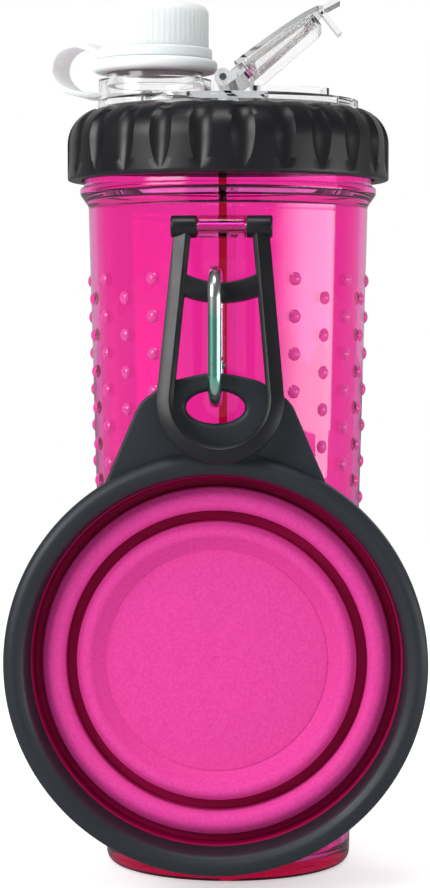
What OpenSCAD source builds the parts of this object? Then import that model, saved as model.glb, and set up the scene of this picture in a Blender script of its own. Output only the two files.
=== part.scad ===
// Travel water bottle for a dog: a two-chamber bottle with a screw collar, a spout, a food hatch
// and a folding bowl that hangs from a handle on a small carabiner.
// Millimetres. Origin at the centre of the base, +Z up, the handle and the bowl at the front (-Y).

/* [Bottle body] */
// Outer radius of the body at its foot
body_foot_r = 34.25; // [31:0.25:36]
// Outer radius at the top of the tapered wall
body_top_r = 39.1; // [36:0.1:42]
// Height of the tapered wall, from the table to the flange
taper_h = 182; // [178:1:200]
// Radius of the rounded foot edge
foot_round_r = 5; // [3:0.5:7]
// Thickness of the body wall
body_wall = 2; // [1.6:0.1:2.4]
// Thickness of the floor
floor_t = 2.6; // [2:0.2:4]
// Height of the hollow under the floor
foot_recess_h = 1.4; // [0.8:0.2:2]
// Distance that the flange below the collar stands out past the top of the wall
flange_step = 2.4; // [2:0.1:2.8]
// Height of the flange, with the cone below it
flange_h = 7.3; // [6:0.1:9]
// Distance that the neck inside the collar stands out past the top of the wall
neck_step = 1.4; // [1.2:0.1:1.8]
// Height of the neck above the flange
neck_h = 16.9; // [15:0.1:19]
// Thickness of the divider between the two chambers
divider_t = 2.1; // [1.6:0.1:2.6]

/* [Grip studs] */
// Diameter of one stud
stud_d = 3.7; // [3:0.1:4.2]
// Height that a stud stands proud
stud_h = 0.9; // [0.6:0.1:1.2]
// Height of the top row
stud_top_z = 163.4; // [150:0.1:168]
// Distance between studs in one column
stud_pitch = 10.1; // [8:0.1:14]
// Studs in one column
stud_rows = 15; // [6:1:15]
// Angle between neighbouring columns
stud_step = 15; // [12:1:18]
// Columns on each side
stud_columns = 5; // [3:1:9]
// Angle of the first column, from the front
stud_first = 30; // [28:1:34]

/* [Collar] */
// Thickness of the collar's wall outside the neck
collar_wall = 3.9; // [3.5:0.1:5]
// Height of the collar
collar_h = 20.1; // [18:0.1:21]
// Radius of the rounded shoulder
collar_shoulder_r = 10; // [9:0.5:11]
// Thickness of the lip that holds the lid down
collar_lip_t = 2.1; // [2:0.1:3]
// Number of flutes
flute_count = 25; // [18:1:26]
// Radius of the scoop that cuts one flute
flute_r = 4; // [3:0.1:4.5]
// Depth of a flute
flute_depth = 1.7; // [1.2:0.1:1.9]

/* [Lid] */
// Distance from the neck's outer edge in to the edge of the raised deck
deck_step = 4; // [3.8:0.1:4.6]
// Height of the deck above the lid's flange
deck_rise = 4.2; // [4:0.1:6]
// Wall of the lid moulding
lid_wall = 1.8; // [1.5:0.1:2]
// Thickness of the lid's flange
lid_flange_t = 1.6; // [1.2:0.1:2]
// Depth of the plug that reaches into the neck
plug_depth = 5; // [3:0.5:7]
// Thickness of the gasket
seal_t = 1.2; // [0.8:0.1:1.6]

/* [Spout and cap] */
// Distance from the deck's edge in to the spout boss
boss_inset = 0.2; // [0.1:0.1:2]
// Outer radius of the spout boss
boss_r = 15.8; // [15.4:0.1:15.9]
// Height of the boss above the deck
boss_h = 6.3; // [6:0.1:8]
// Outer radius of the spout neck
spout_r = 13.1; // [12.6:0.1:13.1]
// Wall of the spout neck
spout_wall = 1.8; // [1.4:0.1:2.2]
// Height of the spout neck above the boss
spout_h = 17.3; // [15:0.1:19]
// Outer radius of the cap
cap_r = 15; // [14.8:0.1:15.3]
// Radius of the groove that the tether ring sits in
cap_groove_r = 14.1; // [14:0.05:14.3]
// Radius of the flange at the cap's lower edge
cap_flange_r = 17.5; // [17:0.1:18]
// Height of that flange
cap_flange_h = 3.5; // [3:0.1:4]
// Height of the groove
cap_groove_h = 3.3; // [3:0.1:4]
// Height of the cap above the groove
cap_top_h = 11.9; // [10:0.1:13]
// Number of knurl ribs round the cap
knurl_count = 60; // [40:4:72]
// Thickness of the cap's liner
liner_t = 1; // [0.6:0.1:1.2]

/* [Cap tether] */
// Width of the strap
strap_w = 8.5; // [6:0.5:9]
// Thickness of the strap
strap_t = 1.6; // [1.2:0.1:1.8]
// Outer radius of the ring round the cap
tether_ring_r = 16; // [15.8:0.1:16.6]

/* [Food hatch] */
// Angle that the hatch stands open
hatch_open = 38.5; // [20:0.5:60]
// Height of the hinge above the deck
hatch_pivot_h = 4.9; // [4.8:0.1:5.4]
// Radius of the hinge knuckles
hatch_knuckle_r = 2.3; // [2.2:0.1:2.6]
// Radius of the hinge pin
hatch_pin_r = 0.95; // [0.8:0.05:1.1]
// Distance from the deck's edge in to the flap's round edge
flap_inset = 2.5; // [2:0.1:3.5]
// Thickness of the flap
flap_t = 1.3; // [1.1:0.1:1.6]
// Wall of the tray rim under the flap
tray_wall = 1.3; // [1:0.1:1.5]
// Width of the tray at the hinge, from its centre line
tray_half_w = 25; // [24:0.5:26]
// Width of the tray at the tip, from its centre line
tray_tip_half_w = 14.5; // [12:0.5:15]
// Thickness of the seal under the flap
hatch_seal_t = 0.9; // [0.6:0.1:1.2]

/* [Handle] */
// Height of the handle's pivot below the top of the tapered wall
pivot_drop = 5.1; // [5:0.1:8]
// Distance of the pivot in front of the top of the wall
pivot_step = 5.9; // [5.4:0.1:7]
// Angle that the handle leans out at the bottom
handle_lean = 12; // [11.5:0.1:13]
// Width of the boss on the bottle
boss_w = 12.7; // [11:0.1:13]
// Radius of the boss and the handle's knuckles
knuckle_r = 3; // [2.8:0.1:3.2]
// Length of one knuckle
knuckle_l = 6.9; // [6:0.1:7.5]
// Radius of the handle's pin
handle_pin_r = 1.1; // [0.9:0.05:1.3]
// Distance from the pivot to the centre of the U bend
handle_l = 46.7; // [46.5:0.1:48]
// Radius of the U bend at the middle of the bar
bend_r = 14.4; // [14:0.1:15]
// Distance of each arm's middle from the centre line, at the top
arm_top_x = 10.2; // [10:0.1:10.6]
// Width of the bar
bar_w = 4.6; // [4:0.1:4.8]
// Thickness of the bar
bar_t = 4; // [3.5:0.1:4.2]
// Distance from the pivot to the top edge of the crossbar, at its middle
crossbar_drop = 15.2; // [15:0.1:16]
// Height of the crossbar at its middle
crossbar_h = 5.4; // [4.5:0.1:5.6]
// Thickness of the crossbar
crossbar_t = 3; // [2.5:0.1:3.2]
// Sag of the crossbar's curved top edge
crossbar_sag = 3; // [2:0.1:3.4]

/* [Carabiner] */
// Radius of the wire
wire_r = 1.8; // [1.7:0.05:1.9]
// Radius of the round ends, at the middle of the wire
loop_r = 6.4; // [6.2:0.1:6.6]
// Length of the straight sides
loop_straight = 20.8; // [20:0.1:22]
// Height of the gate's rivet above the lower round end
rivet_rise = 2.7; // [2.4:0.1:3.4]
// Length of the gate above its rivet
gate_l = 15; // [14:0.1:15.4]
// Radius of the rivet
rivet_r = 0.6; // [0.5:0.05:0.7]

/* [Bowl] */
// Outer radius of the rim
rim_r = 56; // [54:0.1:56.5]
// Width of the rim, from its outer edge in to its inner edge
rim_w = 6.5; // [6:0.1:8]
// Depth of the rim from front to back
rim_depth = 11; // [9:0.1:11.4]
// Height of the tab above the rim's outer edge
tab_rise = 21.4; // [21:0.1:22]
// Thickness of the tab
tab_t = 4; // [3:0.1:4.2]
// Width of the oval hole
hole_w = 15.5; // [14:0.1:17]
// Height of the oval hole
hole_h = 8.6; // [8:0.1:9.2]
// Thickness of the web above the hole
web_h = 5.3; // [5:0.1:6]
// Thickness of the silicone
skin_t = 1.2; // [0.9:0.1:1.3]
// Distance from the rim's inner edge in to the outer ridge's crest
ridge_inset = 6.5; // [6:0.1:7]
// Distance from the outer ridge's crest in to the inner ridge's crest
ridge_step = 9.4; // [9:0.1:10]
// Distance from the inner ridge's crest in to the flat floor
floor_inset = 4.6; // [4.4:0.1:5.4]
// Thickness of the floor
bowl_floor_t = 1.8; // [1.4:0.1:2]
// Depth of the folds behind the ridges
fold_depth = 3.2; // [2.4:0.1:3.4]

/* [Clearances] */
// Gap between pieces that sit on each other
seat_gap = 0.1; // [0.05:0.05:0.2]
// Gap round pieces that turn or slide
run_gap = 0.4; // [0.3:0.05:0.5]
// Radial gap of a pin in the piece that turns on it
pin_gap = 0.06; // [0.03:0.01:0.1]
// Gap between the wire and what hangs on it
hang_gap = 0.8; // [0.7:0.05:1]

/* [Hidden] */
$fn = 96;
tiny = 0.01;

// Heights of the bottle, from the table up
flange_z = taper_h + flange_h;
rim_z = flange_z + neck_h;
lid_z = rim_z + seal_t + 2 * seat_gap;
lid_flange_z = lid_z + lid_flange_t;
deck_z = lid_flange_z + deck_rise;
boss_z = deck_z + boss_h;
spout_z = boss_z + spout_h;
collar_z = lid_flange_z + seat_gap + collar_lip_t;
collar_foot_z = collar_z - collar_h;

// Radii that follow from the fits
flange_r = body_top_r + flange_step;
neck_r = body_top_r + neck_step;
neck_inner_r = neck_r - body_wall;
collar_bore_r = neck_r + 0.6;
collar_r = collar_bore_r + collar_wall;
deck_r = neck_r - deck_step;
spout_offset = deck_r - boss_r - boss_inset;
flap_r = deck_r - flap_inset;
pivot_reach = body_top_r + pivot_step;
lid_flange_r = neck_r - 0.3;
collar_open_r = deck_r + 1.7;
plug_r = neck_inner_r - run_gap;

// Colours of the pieces
pink = [0.93, 0.16, 0.60, 0.55];
silicone = [0.84, 0.22, 0.56];
slate = [0.20, 0.23, 0.27];
black = [0.10, 0.10, 0.11];
clear = [0.88, 0.92, 0.92, 0.45];
frosted = [0.93, 0.94, 0.96];
metal = [0.62, 0.80, 0.74];
steel = [0.75, 0.76, 0.78];
white = [0.92, 0.92, 0.90];

// Outer radius of the tapered wall at a height
function wall_r(z) = body_foot_r + (body_top_r - body_foot_r) * z / taper_h;

// Points of an arc, from one angle to another
function arc(cx, cy, r, a0, a1, n = 12) =
    [for (i = [0:n]) let (a = a0 + (a1 - a0) * i / n) [cx + r * cos(a), cy + r * sin(a)]];

// Unit vector from one point to another
function toward(a, b) = (b - a) / norm(b - a);

// The points of one rounded corner, given its neighbours
function corner(a, p, b, r, n) =
    let (u = toward(p, a), v = toward(p, b), half = acos(u * v) / 2,
        reach = min(r / tan(half), norm(a - p) * 0.49, norm(b - p) * 0.49),
        rr = reach * tan(half), c = p + toward([0, 0], u + v) * rr / sin(half),
        s = p + u * reach - c, e = p + v * reach - c,
        a0 = atan2(s[1], s[0]), da = atan2(s[0] * e[1] - s[1] * e[0], s * e))
    [for (i = [0:n]) c + rr * [cos(a0 + da * i / n), sin(a0 + da * i / n)]];

// An outline whose corners are rounded, each by its own radius
function rounded(pts, radii, n = 6) =
    let (m = len(pts))
    [for (i = [0:m - 1]) each corner(pts[(i + m - 1) % m], pts[i], pts[(i + 1) % m], radii[i], n)];

// A closed tube whose section is swept along stations [origin, side, up]
module sweep(section, stations) {
    n = len(section);
    m = len(stations);
    points = [for (s = stations, p = section) s[0] + s[1] * p[0] + s[2] * p[1]];
    sides = [for (k = [0:m - 2], i = [0:n - 1]) let (j = (i + 1) % n)
        each [[k * n + i, k * n + j, (k + 1) * n + i], [k * n + j, (k + 1) * n + j, (k + 1) * n + i]]];
    ends = [[for (i = [0:n - 1]) n - 1 - i], [for (i = [0:n - 1]) (m - 1) * n + i]];
    polyhedron(points = points, faces = concat(sides, ends), convexity = 6);
}

// The bottle body

// Outline of the outer shell, turned about the axis
function shell_profile() = concat(
    [[0, foot_recess_h], [body_foot_r - foot_round_r - 4, foot_recess_h]],
    arc(body_foot_r - foot_round_r - 0.5, foot_recess_h, foot_recess_h, 180, 270, 6),
    arc(body_foot_r - foot_round_r, foot_round_r, foot_round_r, 270, 360, 10),
    [[wall_r(taper_h), taper_h], [wall_r(taper_h), taper_h + flange_h * 0.27],
        [flange_r, taper_h + flange_h * 0.75], [flange_r, flange_z], [neck_r, flange_z],
        [neck_r, rim_z], [0, rim_z]]);

// Outline of the room inside, before the divider is left standing
function room_profile() =
    let (foot = foot_recess_h + floor_t, round = foot_round_r - body_wall)
    concat([[0, foot], [body_foot_r - body_wall - round, foot]],
        arc(body_foot_r - body_wall - round, foot + round, round, 270, 360, 8),
        [[wall_r(taper_h) - body_wall, taper_h], [neck_inner_r, flange_z - flange_h * 0.3],
            [neck_inner_r, rim_z + 1], [0, rim_z + 1]]);

pivot_z = taper_h - pivot_drop;
pivot = [0, -pivot_reach, pivot_z];

module hinge_boss() {
    translate(pivot) rotate([0, 90, 0]) cylinder(h = boss_w, r = knuckle_r, center = true);
    translate([-boss_w / 2, -pivot_reach, pivot_z - knuckle_r])
        cube([boss_w, pivot_reach - wall_r(pivot_z) + body_wall / 2, 2 * knuckle_r]);
}

module bottle_body() {
    color(pink) difference() {
        union() {
            rotate_extrude() polygon(shell_profile());
            hinge_boss();
        }
        difference() {
            rotate_extrude() polygon(room_profile());
            translate([-divider_t / 2, -flange_r, 0]) cube([divider_t, 2 * flange_r, rim_z + 2]);
        }
        translate(pivot) rotate([0, 90, 0])
            cylinder(h = boss_w + 2, r = handle_pin_r + pin_gap / 2, center = true);
    }
}

stud_tip_d = stud_d * 0.62;

module grip_studs() {
    lean = atan((body_top_r - body_foot_r) / taper_h);
    color(pink) for (side = [-1, 1], c = [0:stud_columns - 1], k = [0:stud_rows - 1]) {
        z = stud_top_z - stud_pitch * (k + (c % 2) / 2);
        rotate([0, 0, -90 + side * (stud_first + stud_step * c)])
            translate([wall_r(z) + tiny, 0, z]) rotate([0, 90 + lean, 0])
                cylinder(h = stud_h, d1 = stud_d, d2 = stud_tip_d, $fn = 16);
    }
}

// The screw collar

// Outline of the collar's wall and lip, turned about the axis
function collar_profile() = concat(
    [[collar_bore_r, collar_foot_z], [collar_r - 0.6, collar_foot_z], [collar_r, collar_foot_z + 0.6]],
    arc(collar_r - collar_shoulder_r, collar_z - collar_shoulder_r, collar_shoulder_r, 0,
        acos((collar_open_r + 0.6 - collar_r + collar_shoulder_r) / collar_shoulder_r), 10),
    [[collar_open_r, collar_z - 1], [collar_open_r, collar_z - collar_lip_t],
        [collar_bore_r, collar_z - collar_lip_t]]);

// One flute: an upright scoop with a pointed foot, and a leaning scoop over the shoulder
module flute() {
    axis_x = collar_r - flute_depth + flute_r;
    point_r = flute_r - flute_depth;
    shoulder_x = collar_r - collar_shoulder_r;
    shoulder_z = collar_z - collar_shoulder_r;
    lean_reach = collar_shoulder_r - flute_depth * 0.95 + flute_r;
    tip_z = collar_foot_z + 1.5;
    taper_l = 0.7 * (collar_h - collar_shoulder_r);
    over = 2 * collar_shoulder_r;
    translate([axis_x, 0, tip_z]) cylinder(h = taper_l, r1 = point_r, r2 = flute_r, $fn = 48);
    translate([axis_x, 0, tip_z + taper_l])
        cylinder(h = shoulder_z + over / 2 - tip_z - taper_l, r = flute_r, $fn = 48);
    translate([shoulder_x, 0, shoulder_z]) rotate([0, 45, 0]) translate([0, 0, lean_reach])
        rotate([0, 90, 0]) cylinder(h = over * 1.5, r = flute_r, center = true, $fn = 48);
}

module collar() {
    color(black) difference() {
        rotate_extrude() polygon(collar_profile());
        for (i = [0:flute_count - 1])
            rotate([0, 0, -90 + (i + 0.5) * 360 / flute_count]) flute();
    }
}

// The lid insert

spout = [-spout_offset, 0, 0];
hatch_x = -0.5;
hatch_z = deck_z + hatch_pivot_h;
hatch_pivot = [hatch_x, 0, hatch_z];
flap_z = hatch_z + 0.3;
tray_x0 = 4.6;
tray_x1 = deck_r - 6.5;
knuckle_half_l = 21.6;
ear_t = 3.2;
coaming_top_z = flap_z - flap_t - hatch_seal_t - seat_gap;

// Plan of the tray, drawn in by a distance on the sides and by another at the hinge
function tray_plan(inset, hinge_inset, round_r) =
    let (slope = (tray_half_w - tray_tip_half_w) / (tray_x1 - tray_x0), lean = sqrt(1 + slope * slope),
        xa = tray_x0 + hinge_inset, xb = tray_x1 - inset,
        ya = tray_half_w - slope * (xa - tray_x0) - inset * lean,
        yb = tray_half_w - slope * (xb - tray_x0) - inset * lean,
        ra = max(round_r - inset, 0.8), rb = max(round_r + 2 - inset, 0.8))
    rounded([[xa, -ya], [xb, -yb], [xb, yb], [xa, ya]], [ra, rb, rb, ra]);

tray_round = 4;
hinge_step = 1.6;
coaming_inset = tray_wall + run_gap;
coaming_t = 1.4;
tongue_x = deck_r - 4.2;
tongue_t = 1.3;
tongue_w = 8;
pocket_x0 = tray_x1 + 0.5;
pocket_x1 = tongue_x + tongue_t + 1;
pocket_floor_z = lid_z + 1.3;
anchor = spout + [-4, 20.5, 0];
anchor_r = 1.5;
eyelet_r = strap_w / 2;
eyelet_t = strap_t;
eyelet_reach = eyelet_r + 1.5;
eyelet_turn = 187;
eyelet_z = deck_z + 2.6;

module lid_shell() {
    difference() {
        union() {
            translate([0, 0, lid_z]) cylinder(h = lid_flange_t, r = lid_flange_r);
            translate([0, 0, lid_z]) cylinder(h = deck_z - lid_z, r = deck_r);
            translate([0, 0, lid_z - plug_depth]) cylinder(h = plug_depth + 1, r = plug_r);
            translate(spout + [0, 0, deck_z - 1]) cylinder(h = boss_h + 1, r = boss_r);
            translate(spout + [0, 0, boss_z - 1]) cylinder(h = spout_h + 1, r = spout_r);
        }
        translate([0, 0, lid_z - plug_depth - 1])
            cylinder(h = deck_z - lid_wall - lid_z + plug_depth + 1, r = deck_r - lid_wall);
        translate(spout + [0, 0, lid_z]) cylinder(h = boss_z - lid_wall - lid_z, r = boss_r - lid_wall);
        translate(spout + [0, 0, lid_z]) cylinder(h = spout_z, r = spout_r - spout_wall);
        translate([-divider_t / 2 - run_gap, -flange_r, lid_z - plug_depth - 1])
            cube([divider_t + 2 * run_gap, 2 * flange_r, plug_depth + 1]);
    }
}

// Walls under the deck that meet the divider, with a slot that its top edge stands in
module divider_channel() {
    foot_w = divider_t + 2 * run_gap + 2 * 1.3;
    length = 2 * (deck_r - lid_wall) - 0.6;
    difference() {
        union() {
            translate([-foot_w / 2, -length / 2, lid_z - 3.6]) cube([foot_w, length, 3.6 + 1.2]);
            translate([-0.7, -length / 2, lid_z]) cube([1.4, length, deck_z - lid_wall / 2 - lid_z]);
        }
        translate([-divider_t / 2 - run_gap, -flange_r, lid_z - plug_depth])
            cube([divider_t + 2 * run_gap, 2 * flange_r, plug_depth]);
    }
}

module hatch_ears() {
    for (s = [-1, 1]) translate([0, s * (knuckle_half_l + run_gap / 2 + ear_t / 2), 0])
        rotate([90, 0, 0]) translate([0, 0, -ear_t / 2]) difference() {
            union() {
                translate([hatch_x, hatch_z, 0]) cylinder(h = ear_t, r = hatch_knuckle_r, $fn = 48);
                linear_extrude(ear_t) polygon([[hatch_x - hatch_knuckle_r - 0.6, deck_z - 1],
                    [hatch_x + hatch_knuckle_r + 1, deck_z - 1], [hatch_x + hatch_knuckle_r, hatch_z],
                    [hatch_x - hatch_knuckle_r, hatch_z]]);
            }
            translate([hatch_x, hatch_z, -1]) cylinder(h = ear_t + 2, r = hatch_pin_r + pin_gap / 2, $fn = 48);
        }
}

module lid_plate() {
    color(clear) difference() {
        union() {
            lid_shell();
            divider_channel();
            translate([0, 0, deck_z - lid_wall]) linear_extrude(coaming_top_z - deck_z + lid_wall)
                polygon(tray_plan(coaming_inset, tray_wall + hinge_step, tray_round));
            intersection() {
                translate([pocket_x0 - 1.2, -tongue_w / 2 - 2, lid_z])
                    cube([8, tongue_w + 4, deck_z - lid_wall / 2 - lid_z]);
                translate([0, 0, lid_z]) cylinder(h = deck_z, r = deck_r - lid_wall / 2);
            }
            translate(anchor + [0, 0, deck_z - 1]) cylinder(h = eyelet_z + eyelet_t - deck_z + 1.6, r = anchor_r);
            translate(anchor + [0, 0, deck_z - 1]) cylinder(h = eyelet_z - seat_gap - deck_z + 1, r = anchor_r + 1.1);
            translate(anchor + [0, 0, eyelet_z + eyelet_t + seat_gap])
                cylinder(h = 1, r1 = anchor_r + 0.7, r2 = anchor_r - 0.2);
            hatch_ears();
        }
        translate([0, 0, lid_z + lid_flange_t + 1]) linear_extrude(20)
            polygon(tray_plan(coaming_inset + coaming_t, tray_wall + hinge_step + coaming_t, tray_round));
        translate([pocket_x0, -tongue_w / 2 - 0.8, pocket_floor_z])
            cube([pocket_x1 - pocket_x0, tongue_w + 1.6, 10]);
    }
}

module lid_gasket() {
    color(white) {
        difference() {
            translate([0, 0, rim_z + seat_gap]) cylinder(h = seal_t, r = lid_flange_r);
            translate([0, 0, rim_z - 1]) cylinder(h = 5, r = plug_r + 0.15);
        }
        intersection() {
            translate([-divider_t / 2, -plug_r - 1, rim_z + seat_gap])
                cube([divider_t, 2 * plug_r + 2, seal_t]);
            cylinder(h = rim_z + 5, r = plug_r + 0.3);
        }
    }
}

// The spout cap and its liner

cap_z = boss_z + 1.9;
cap_groove_z = cap_z + cap_flange_h;
cap_body_z = cap_groove_z + cap_groove_h;
cap_top_z = cap_body_z + cap_top_h;
cap_bore_r = spout_r + 0.3;
liner_top_z = spout_z + liner_t + 2 * seat_gap;

function cap_profile() = concat(
    [[cap_bore_r, cap_z]],
    arc(cap_flange_r - 1.4, cap_z + 1.4, 1.4, 270, 360, 5),
    arc(cap_flange_r - 1.4, cap_groove_z - 1.4, 1.4, 0, 90, 5),
    [[cap_groove_r, cap_groove_z], [cap_groove_r, cap_body_z], [cap_r - 0.5, cap_body_z],
        [cap_r - 0.1, cap_body_z + 0.5]],
    arc(cap_r - 2.1, cap_top_z - 2, 2, 0, 90, 6),
    [[0, cap_top_z], [0, liner_top_z], [cap_bore_r, liner_top_z]]);

module spout_cap() {
    color(frosted) union() {
        translate(spout) rotate_extrude() polygon(cap_profile());
        translate(spout) for (i = [0:knurl_count - 1]) rotate([0, 0, i * 360 / knurl_count])
            translate([cap_r - 0.6, -0.3, cap_body_z + 0.8]) cube([0.75, 0.6, cap_top_h - 3.4]);
    }
}

module cap_liner() {
    color(white) translate(spout + [0, 0, spout_z + seat_gap]) cylinder(h = liner_t, r = cap_bore_r - 0.2);
}

// The cap tether: a ring in the cap's groove, a strap and an eyelet on the lid

ring_z = cap_groove_z + seat_gap;
ring_h = cap_groove_h - 2 * seat_gap;
strap_turn = 147;
strap_root = spout + [(tether_ring_r + seat_gap) * cos(strap_turn),
    (tether_ring_r + seat_gap) * sin(strap_turn), ring_z + ring_h / 2];
// The strap's route, from the ring out and round to the eyelet
high = spout + [0, 0, ring_z + ring_h / 2];
low = spout + [0, 0, eyelet_z + eyelet_t / 2];
strap_route = [strap_root, high + [-17, 11, 2.4], high + [-21.5, 13.9, 4.2], high + [-25.8, 16.7, 3.2],
    high + [-28.5, 18.4, 0], low + [-28.7, 18.7, 5.8], low + [-26.1, 17.8, 2.2], low + [-21.5, 18, 0.4],
    low + [-16, 19, 0], anchor + [0, 0, eyelet_z + eyelet_t / 2]
        + (eyelet_reach + seat_gap) * [cos(eyelet_turn), sin(eyelet_turn), 0]];

// A point on a smooth curve through four points
function spline(a, b, c, d, t) = 0.5 * (2 * b + (c - a) * t + (2 * a - 5 * b + 4 * c - d) * t * t
    + (3 * b - a - 3 * c + d) * t * t * t);

// A smooth route through the given points, with a number of steps between two of them
function smooth(pts, steps) = let (m = len(pts))
    [for (i = [0:m - 2], k = [0:steps - 1])
        spline(pts[max(i - 1, 0)], pts[i], pts[i + 1], pts[min(i + 2, m - 1)], k / steps), pts[m - 1]];

// Stations of a flat strap: its width stays level, square to the plane that it loops in, and on the
// last stretch it turns square to the way that the strap runs
strap_side = [-sin(strap_turn), cos(strap_turn), 0];
function strap_stations(path) = let (m = len(path))
    [for (i = [0:m - 1]) let (d = toward(path[max(i - 1, 0)], path[min(i + 1, m - 1)]),
        share = max(0, min(1, (i / (m - 1) - 0.66) / 0.2)), square = [d[1], -d[0], 0],
        across = toward([0, 0, 0], (1 - share) * strap_side + share * square),
        up = i == 0 ? [0, 0, -1] : cross(across, d)) [path[i], across, up / norm(up)]];

function strap_section(w, t) = [[-w / 2, -t * 0.3], [-w / 2 + t * 0.3, -t / 2], [w / 2 - t * 0.3, -t / 2],
    [w / 2, -t * 0.3], [w / 2, t * 0.3], [w / 2 - t * 0.3, t / 2], [-w / 2 + t * 0.3, t / 2], [-w / 2, t * 0.3]];

module tether_ring() {
    color(frosted) translate(spout + [0, 0, ring_z]) difference() {
        cylinder(h = ring_h, r = tether_ring_r);
        translate([0, 0, -1]) cylinder(h = ring_h + 2, r = cap_groove_r + 0.2);
    }
}

module tether_strap() {
    color(frosted) sweep(strap_section(strap_w, strap_t), strap_stations(smooth(strap_route, 3)));
}

module tether_eyelet() {
    color(frosted) translate(anchor + [0, 0, eyelet_z]) difference() {
        union() {
            cylinder(h = eyelet_t, r = eyelet_r);
            rotate([0, 0, eyelet_turn]) translate([0, -strap_w / 2, 0]) cube([eyelet_reach, strap_w, eyelet_t]);
        }
        translate([0, 0, -1]) cylinder(h = eyelet_t + 2, r = anchor_r + 0.15);
    }
}

// The food hatch, built shut and then turned open about its pin

module opened() {
    translate(hatch_pivot) rotate([0, -hatch_open, 0]) translate(-hatch_pivot) children();
}

module food_hatch() {
    color(clear) opened() difference() {
        union() {
            intersection() {
                translate([0, 0, flap_z - flap_t]) cylinder(h = flap_t, r = flap_r);
                translate([tray_x0 - 0.6, -flap_r - 1, flap_z - flap_t]) cube([60, 2 * flap_r + 2, flap_t]);
            }
            translate([0, 0, deck_z + run_gap]) linear_extrude(flap_z - flap_t / 2 - deck_z - run_gap)
                polygon(tray_plan(0, 0, tray_round));
            translate([hatch_x, 0, hatch_z]) rotate([90, 0, 0])
                cylinder(h = 2 * knuckle_half_l, r = hatch_knuckle_r, center = true, $fn = 48);
            translate([hatch_x, -knuckle_half_l, flap_z - 2.6]) cube([tray_x0 + 1 - hatch_x, 2 * knuckle_half_l, 2.6]);
            translate([tongue_x, -tongue_w / 2, pocket_floor_z + 0.5])
                cube([tongue_t, tongue_w, flap_z - flap_t / 2 - pocket_floor_z - 0.5]);
            translate([0, tongue_w * 0.75, 0]) rotate([90, 0, 0]) linear_extrude(tongue_w * 1.5)
                polygon([[flap_r - 1.5, flap_z - flap_t], [deck_r + 1.9, flap_z - flap_t - 1.1],
                    [deck_r + 2.3, flap_z - flap_t - 0.5], [deck_r + 1.9, flap_z - 0.9], [flap_r - 1.5, flap_z]]);
        }
        translate([0, 0, deck_z]) linear_extrude(flap_z - flap_t - deck_z)
            polygon(tray_plan(tray_wall, tray_wall, tray_round));
        translate([hatch_x, 0, hatch_z]) rotate([90, 0, 0])
            cylinder(h = 4 * knuckle_half_l, r = hatch_pin_r + pin_gap, center = true, $fn = 48);
    }
}

module hatch_seal() {
    color(white) opened() translate([0, 0, coaming_top_z + seat_gap]) difference() {
        linear_extrude(hatch_seal_t) polygon(tray_plan(coaming_inset - 0.1, tray_wall + hinge_step, tray_round));
        translate([0, 0, -1]) linear_extrude(hatch_seal_t + 2)
            polygon(tray_plan(coaming_inset + coaming_t, tray_wall + hinge_step + coaming_t, tray_round));
    }
}

module hatch_pin() {
    color(steel) translate(hatch_pivot) rotate([90, 0, 0])
        cylinder(h = 2 * (knuckle_half_l + run_gap / 2 + ear_t - 0.4), r = hatch_pin_r, center = true, $fn = 48);
}

// The carry handle, drawn upright in its own plane and leaned out about its pivot

arm_lean = asin((bend_r - arm_top_x) / handle_l);
crossbar_half_w = 12;

// Stations along the bar: down one arm, round the bend and up the other
function handle_stations() =
    let (a = arm_lean,
        bend = [for (i = [0:24]) let (t = 180 - a + (180 + 2 * a) * i / 24) [cos(t), sin(t)]],
        tops = [[-arm_top_x, 0], [arm_top_x, 0]])
    concat([[[tops[0][0], 0, tops[0][1] - 1], [bend[0][0], 0, bend[0][1]], [0, -1, 0]]],
        [for (d = bend) [[bend_r * d[0], 0, bend_r * d[1] - handle_l], [d[0], 0, d[1]], [0, -1, 0]]],
        [[[tops[1][0], 0, tops[1][1] - 1], [bend[24][0], 0, bend[24][1]], [0, -1, 0]]]);

function bar_section(w, t, b) = [[-w / 2, -t / 2 + b], [-w / 2 + b, -t / 2], [w / 2 - b, -t / 2], [w / 2, -t / 2 + b],
    [w / 2, t / 2 - b], [w / 2 - b, t / 2], [-w / 2 + b, t / 2], [-w / 2, t / 2 - b]];

// Outline of the crossbar: both edges curve down in the middle
function crossbar_outline() =
    let (w = crossbar_half_w - 2, sag = crossbar_sag, low = crossbar_sag * 0.7,
        top_r = (w * w + sag * sag) / (2 * sag), low_r = (w * w + low * low) / (2 * low),
        ta = asin(w / top_r), la = asin(w / low_r))
    concat(arc(0, -crossbar_drop + top_r, top_r, 270 - ta, 270 + ta, 16),
        arc(0, -crossbar_drop - crossbar_h + low_r, low_r, 270 + la, 270 - la, 16));

module leaned() {
    translate(pivot) rotate([-handle_lean, 0, 0]) children();
}

module carry_handle() {
    inner_x = boss_w / 2 + run_gap / 2;
    color(black) leaned() difference() {
        union() {
            sweep(bar_section(bar_w, bar_t, 0.9), handle_stations());
            for (s = [-1, 1]) translate([s * (inner_x + knuckle_l / 2), 0, 0]) rotate([0, 90, 0])
                cylinder(h = knuckle_l, r = knuckle_r, center = true);
            rotate([90, 0, 0]) linear_extrude(crossbar_t, center = true) polygon(crossbar_outline());
        }
        rotate([0, 90, 0]) cylinder(h = 2 * (inner_x + knuckle_l - 1.4), r = handle_pin_r + pin_gap, center = true);
    }
}

module handle_pin() {
    color(steel) translate(pivot) rotate([0, 90, 0])
        cylinder(h = boss_w + run_gap + 2 * knuckle_l - 3.4, r = handle_pin_r, center = true);
}

// The carabiner hangs from the crossbar, its loop in the plane from front to back

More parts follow.
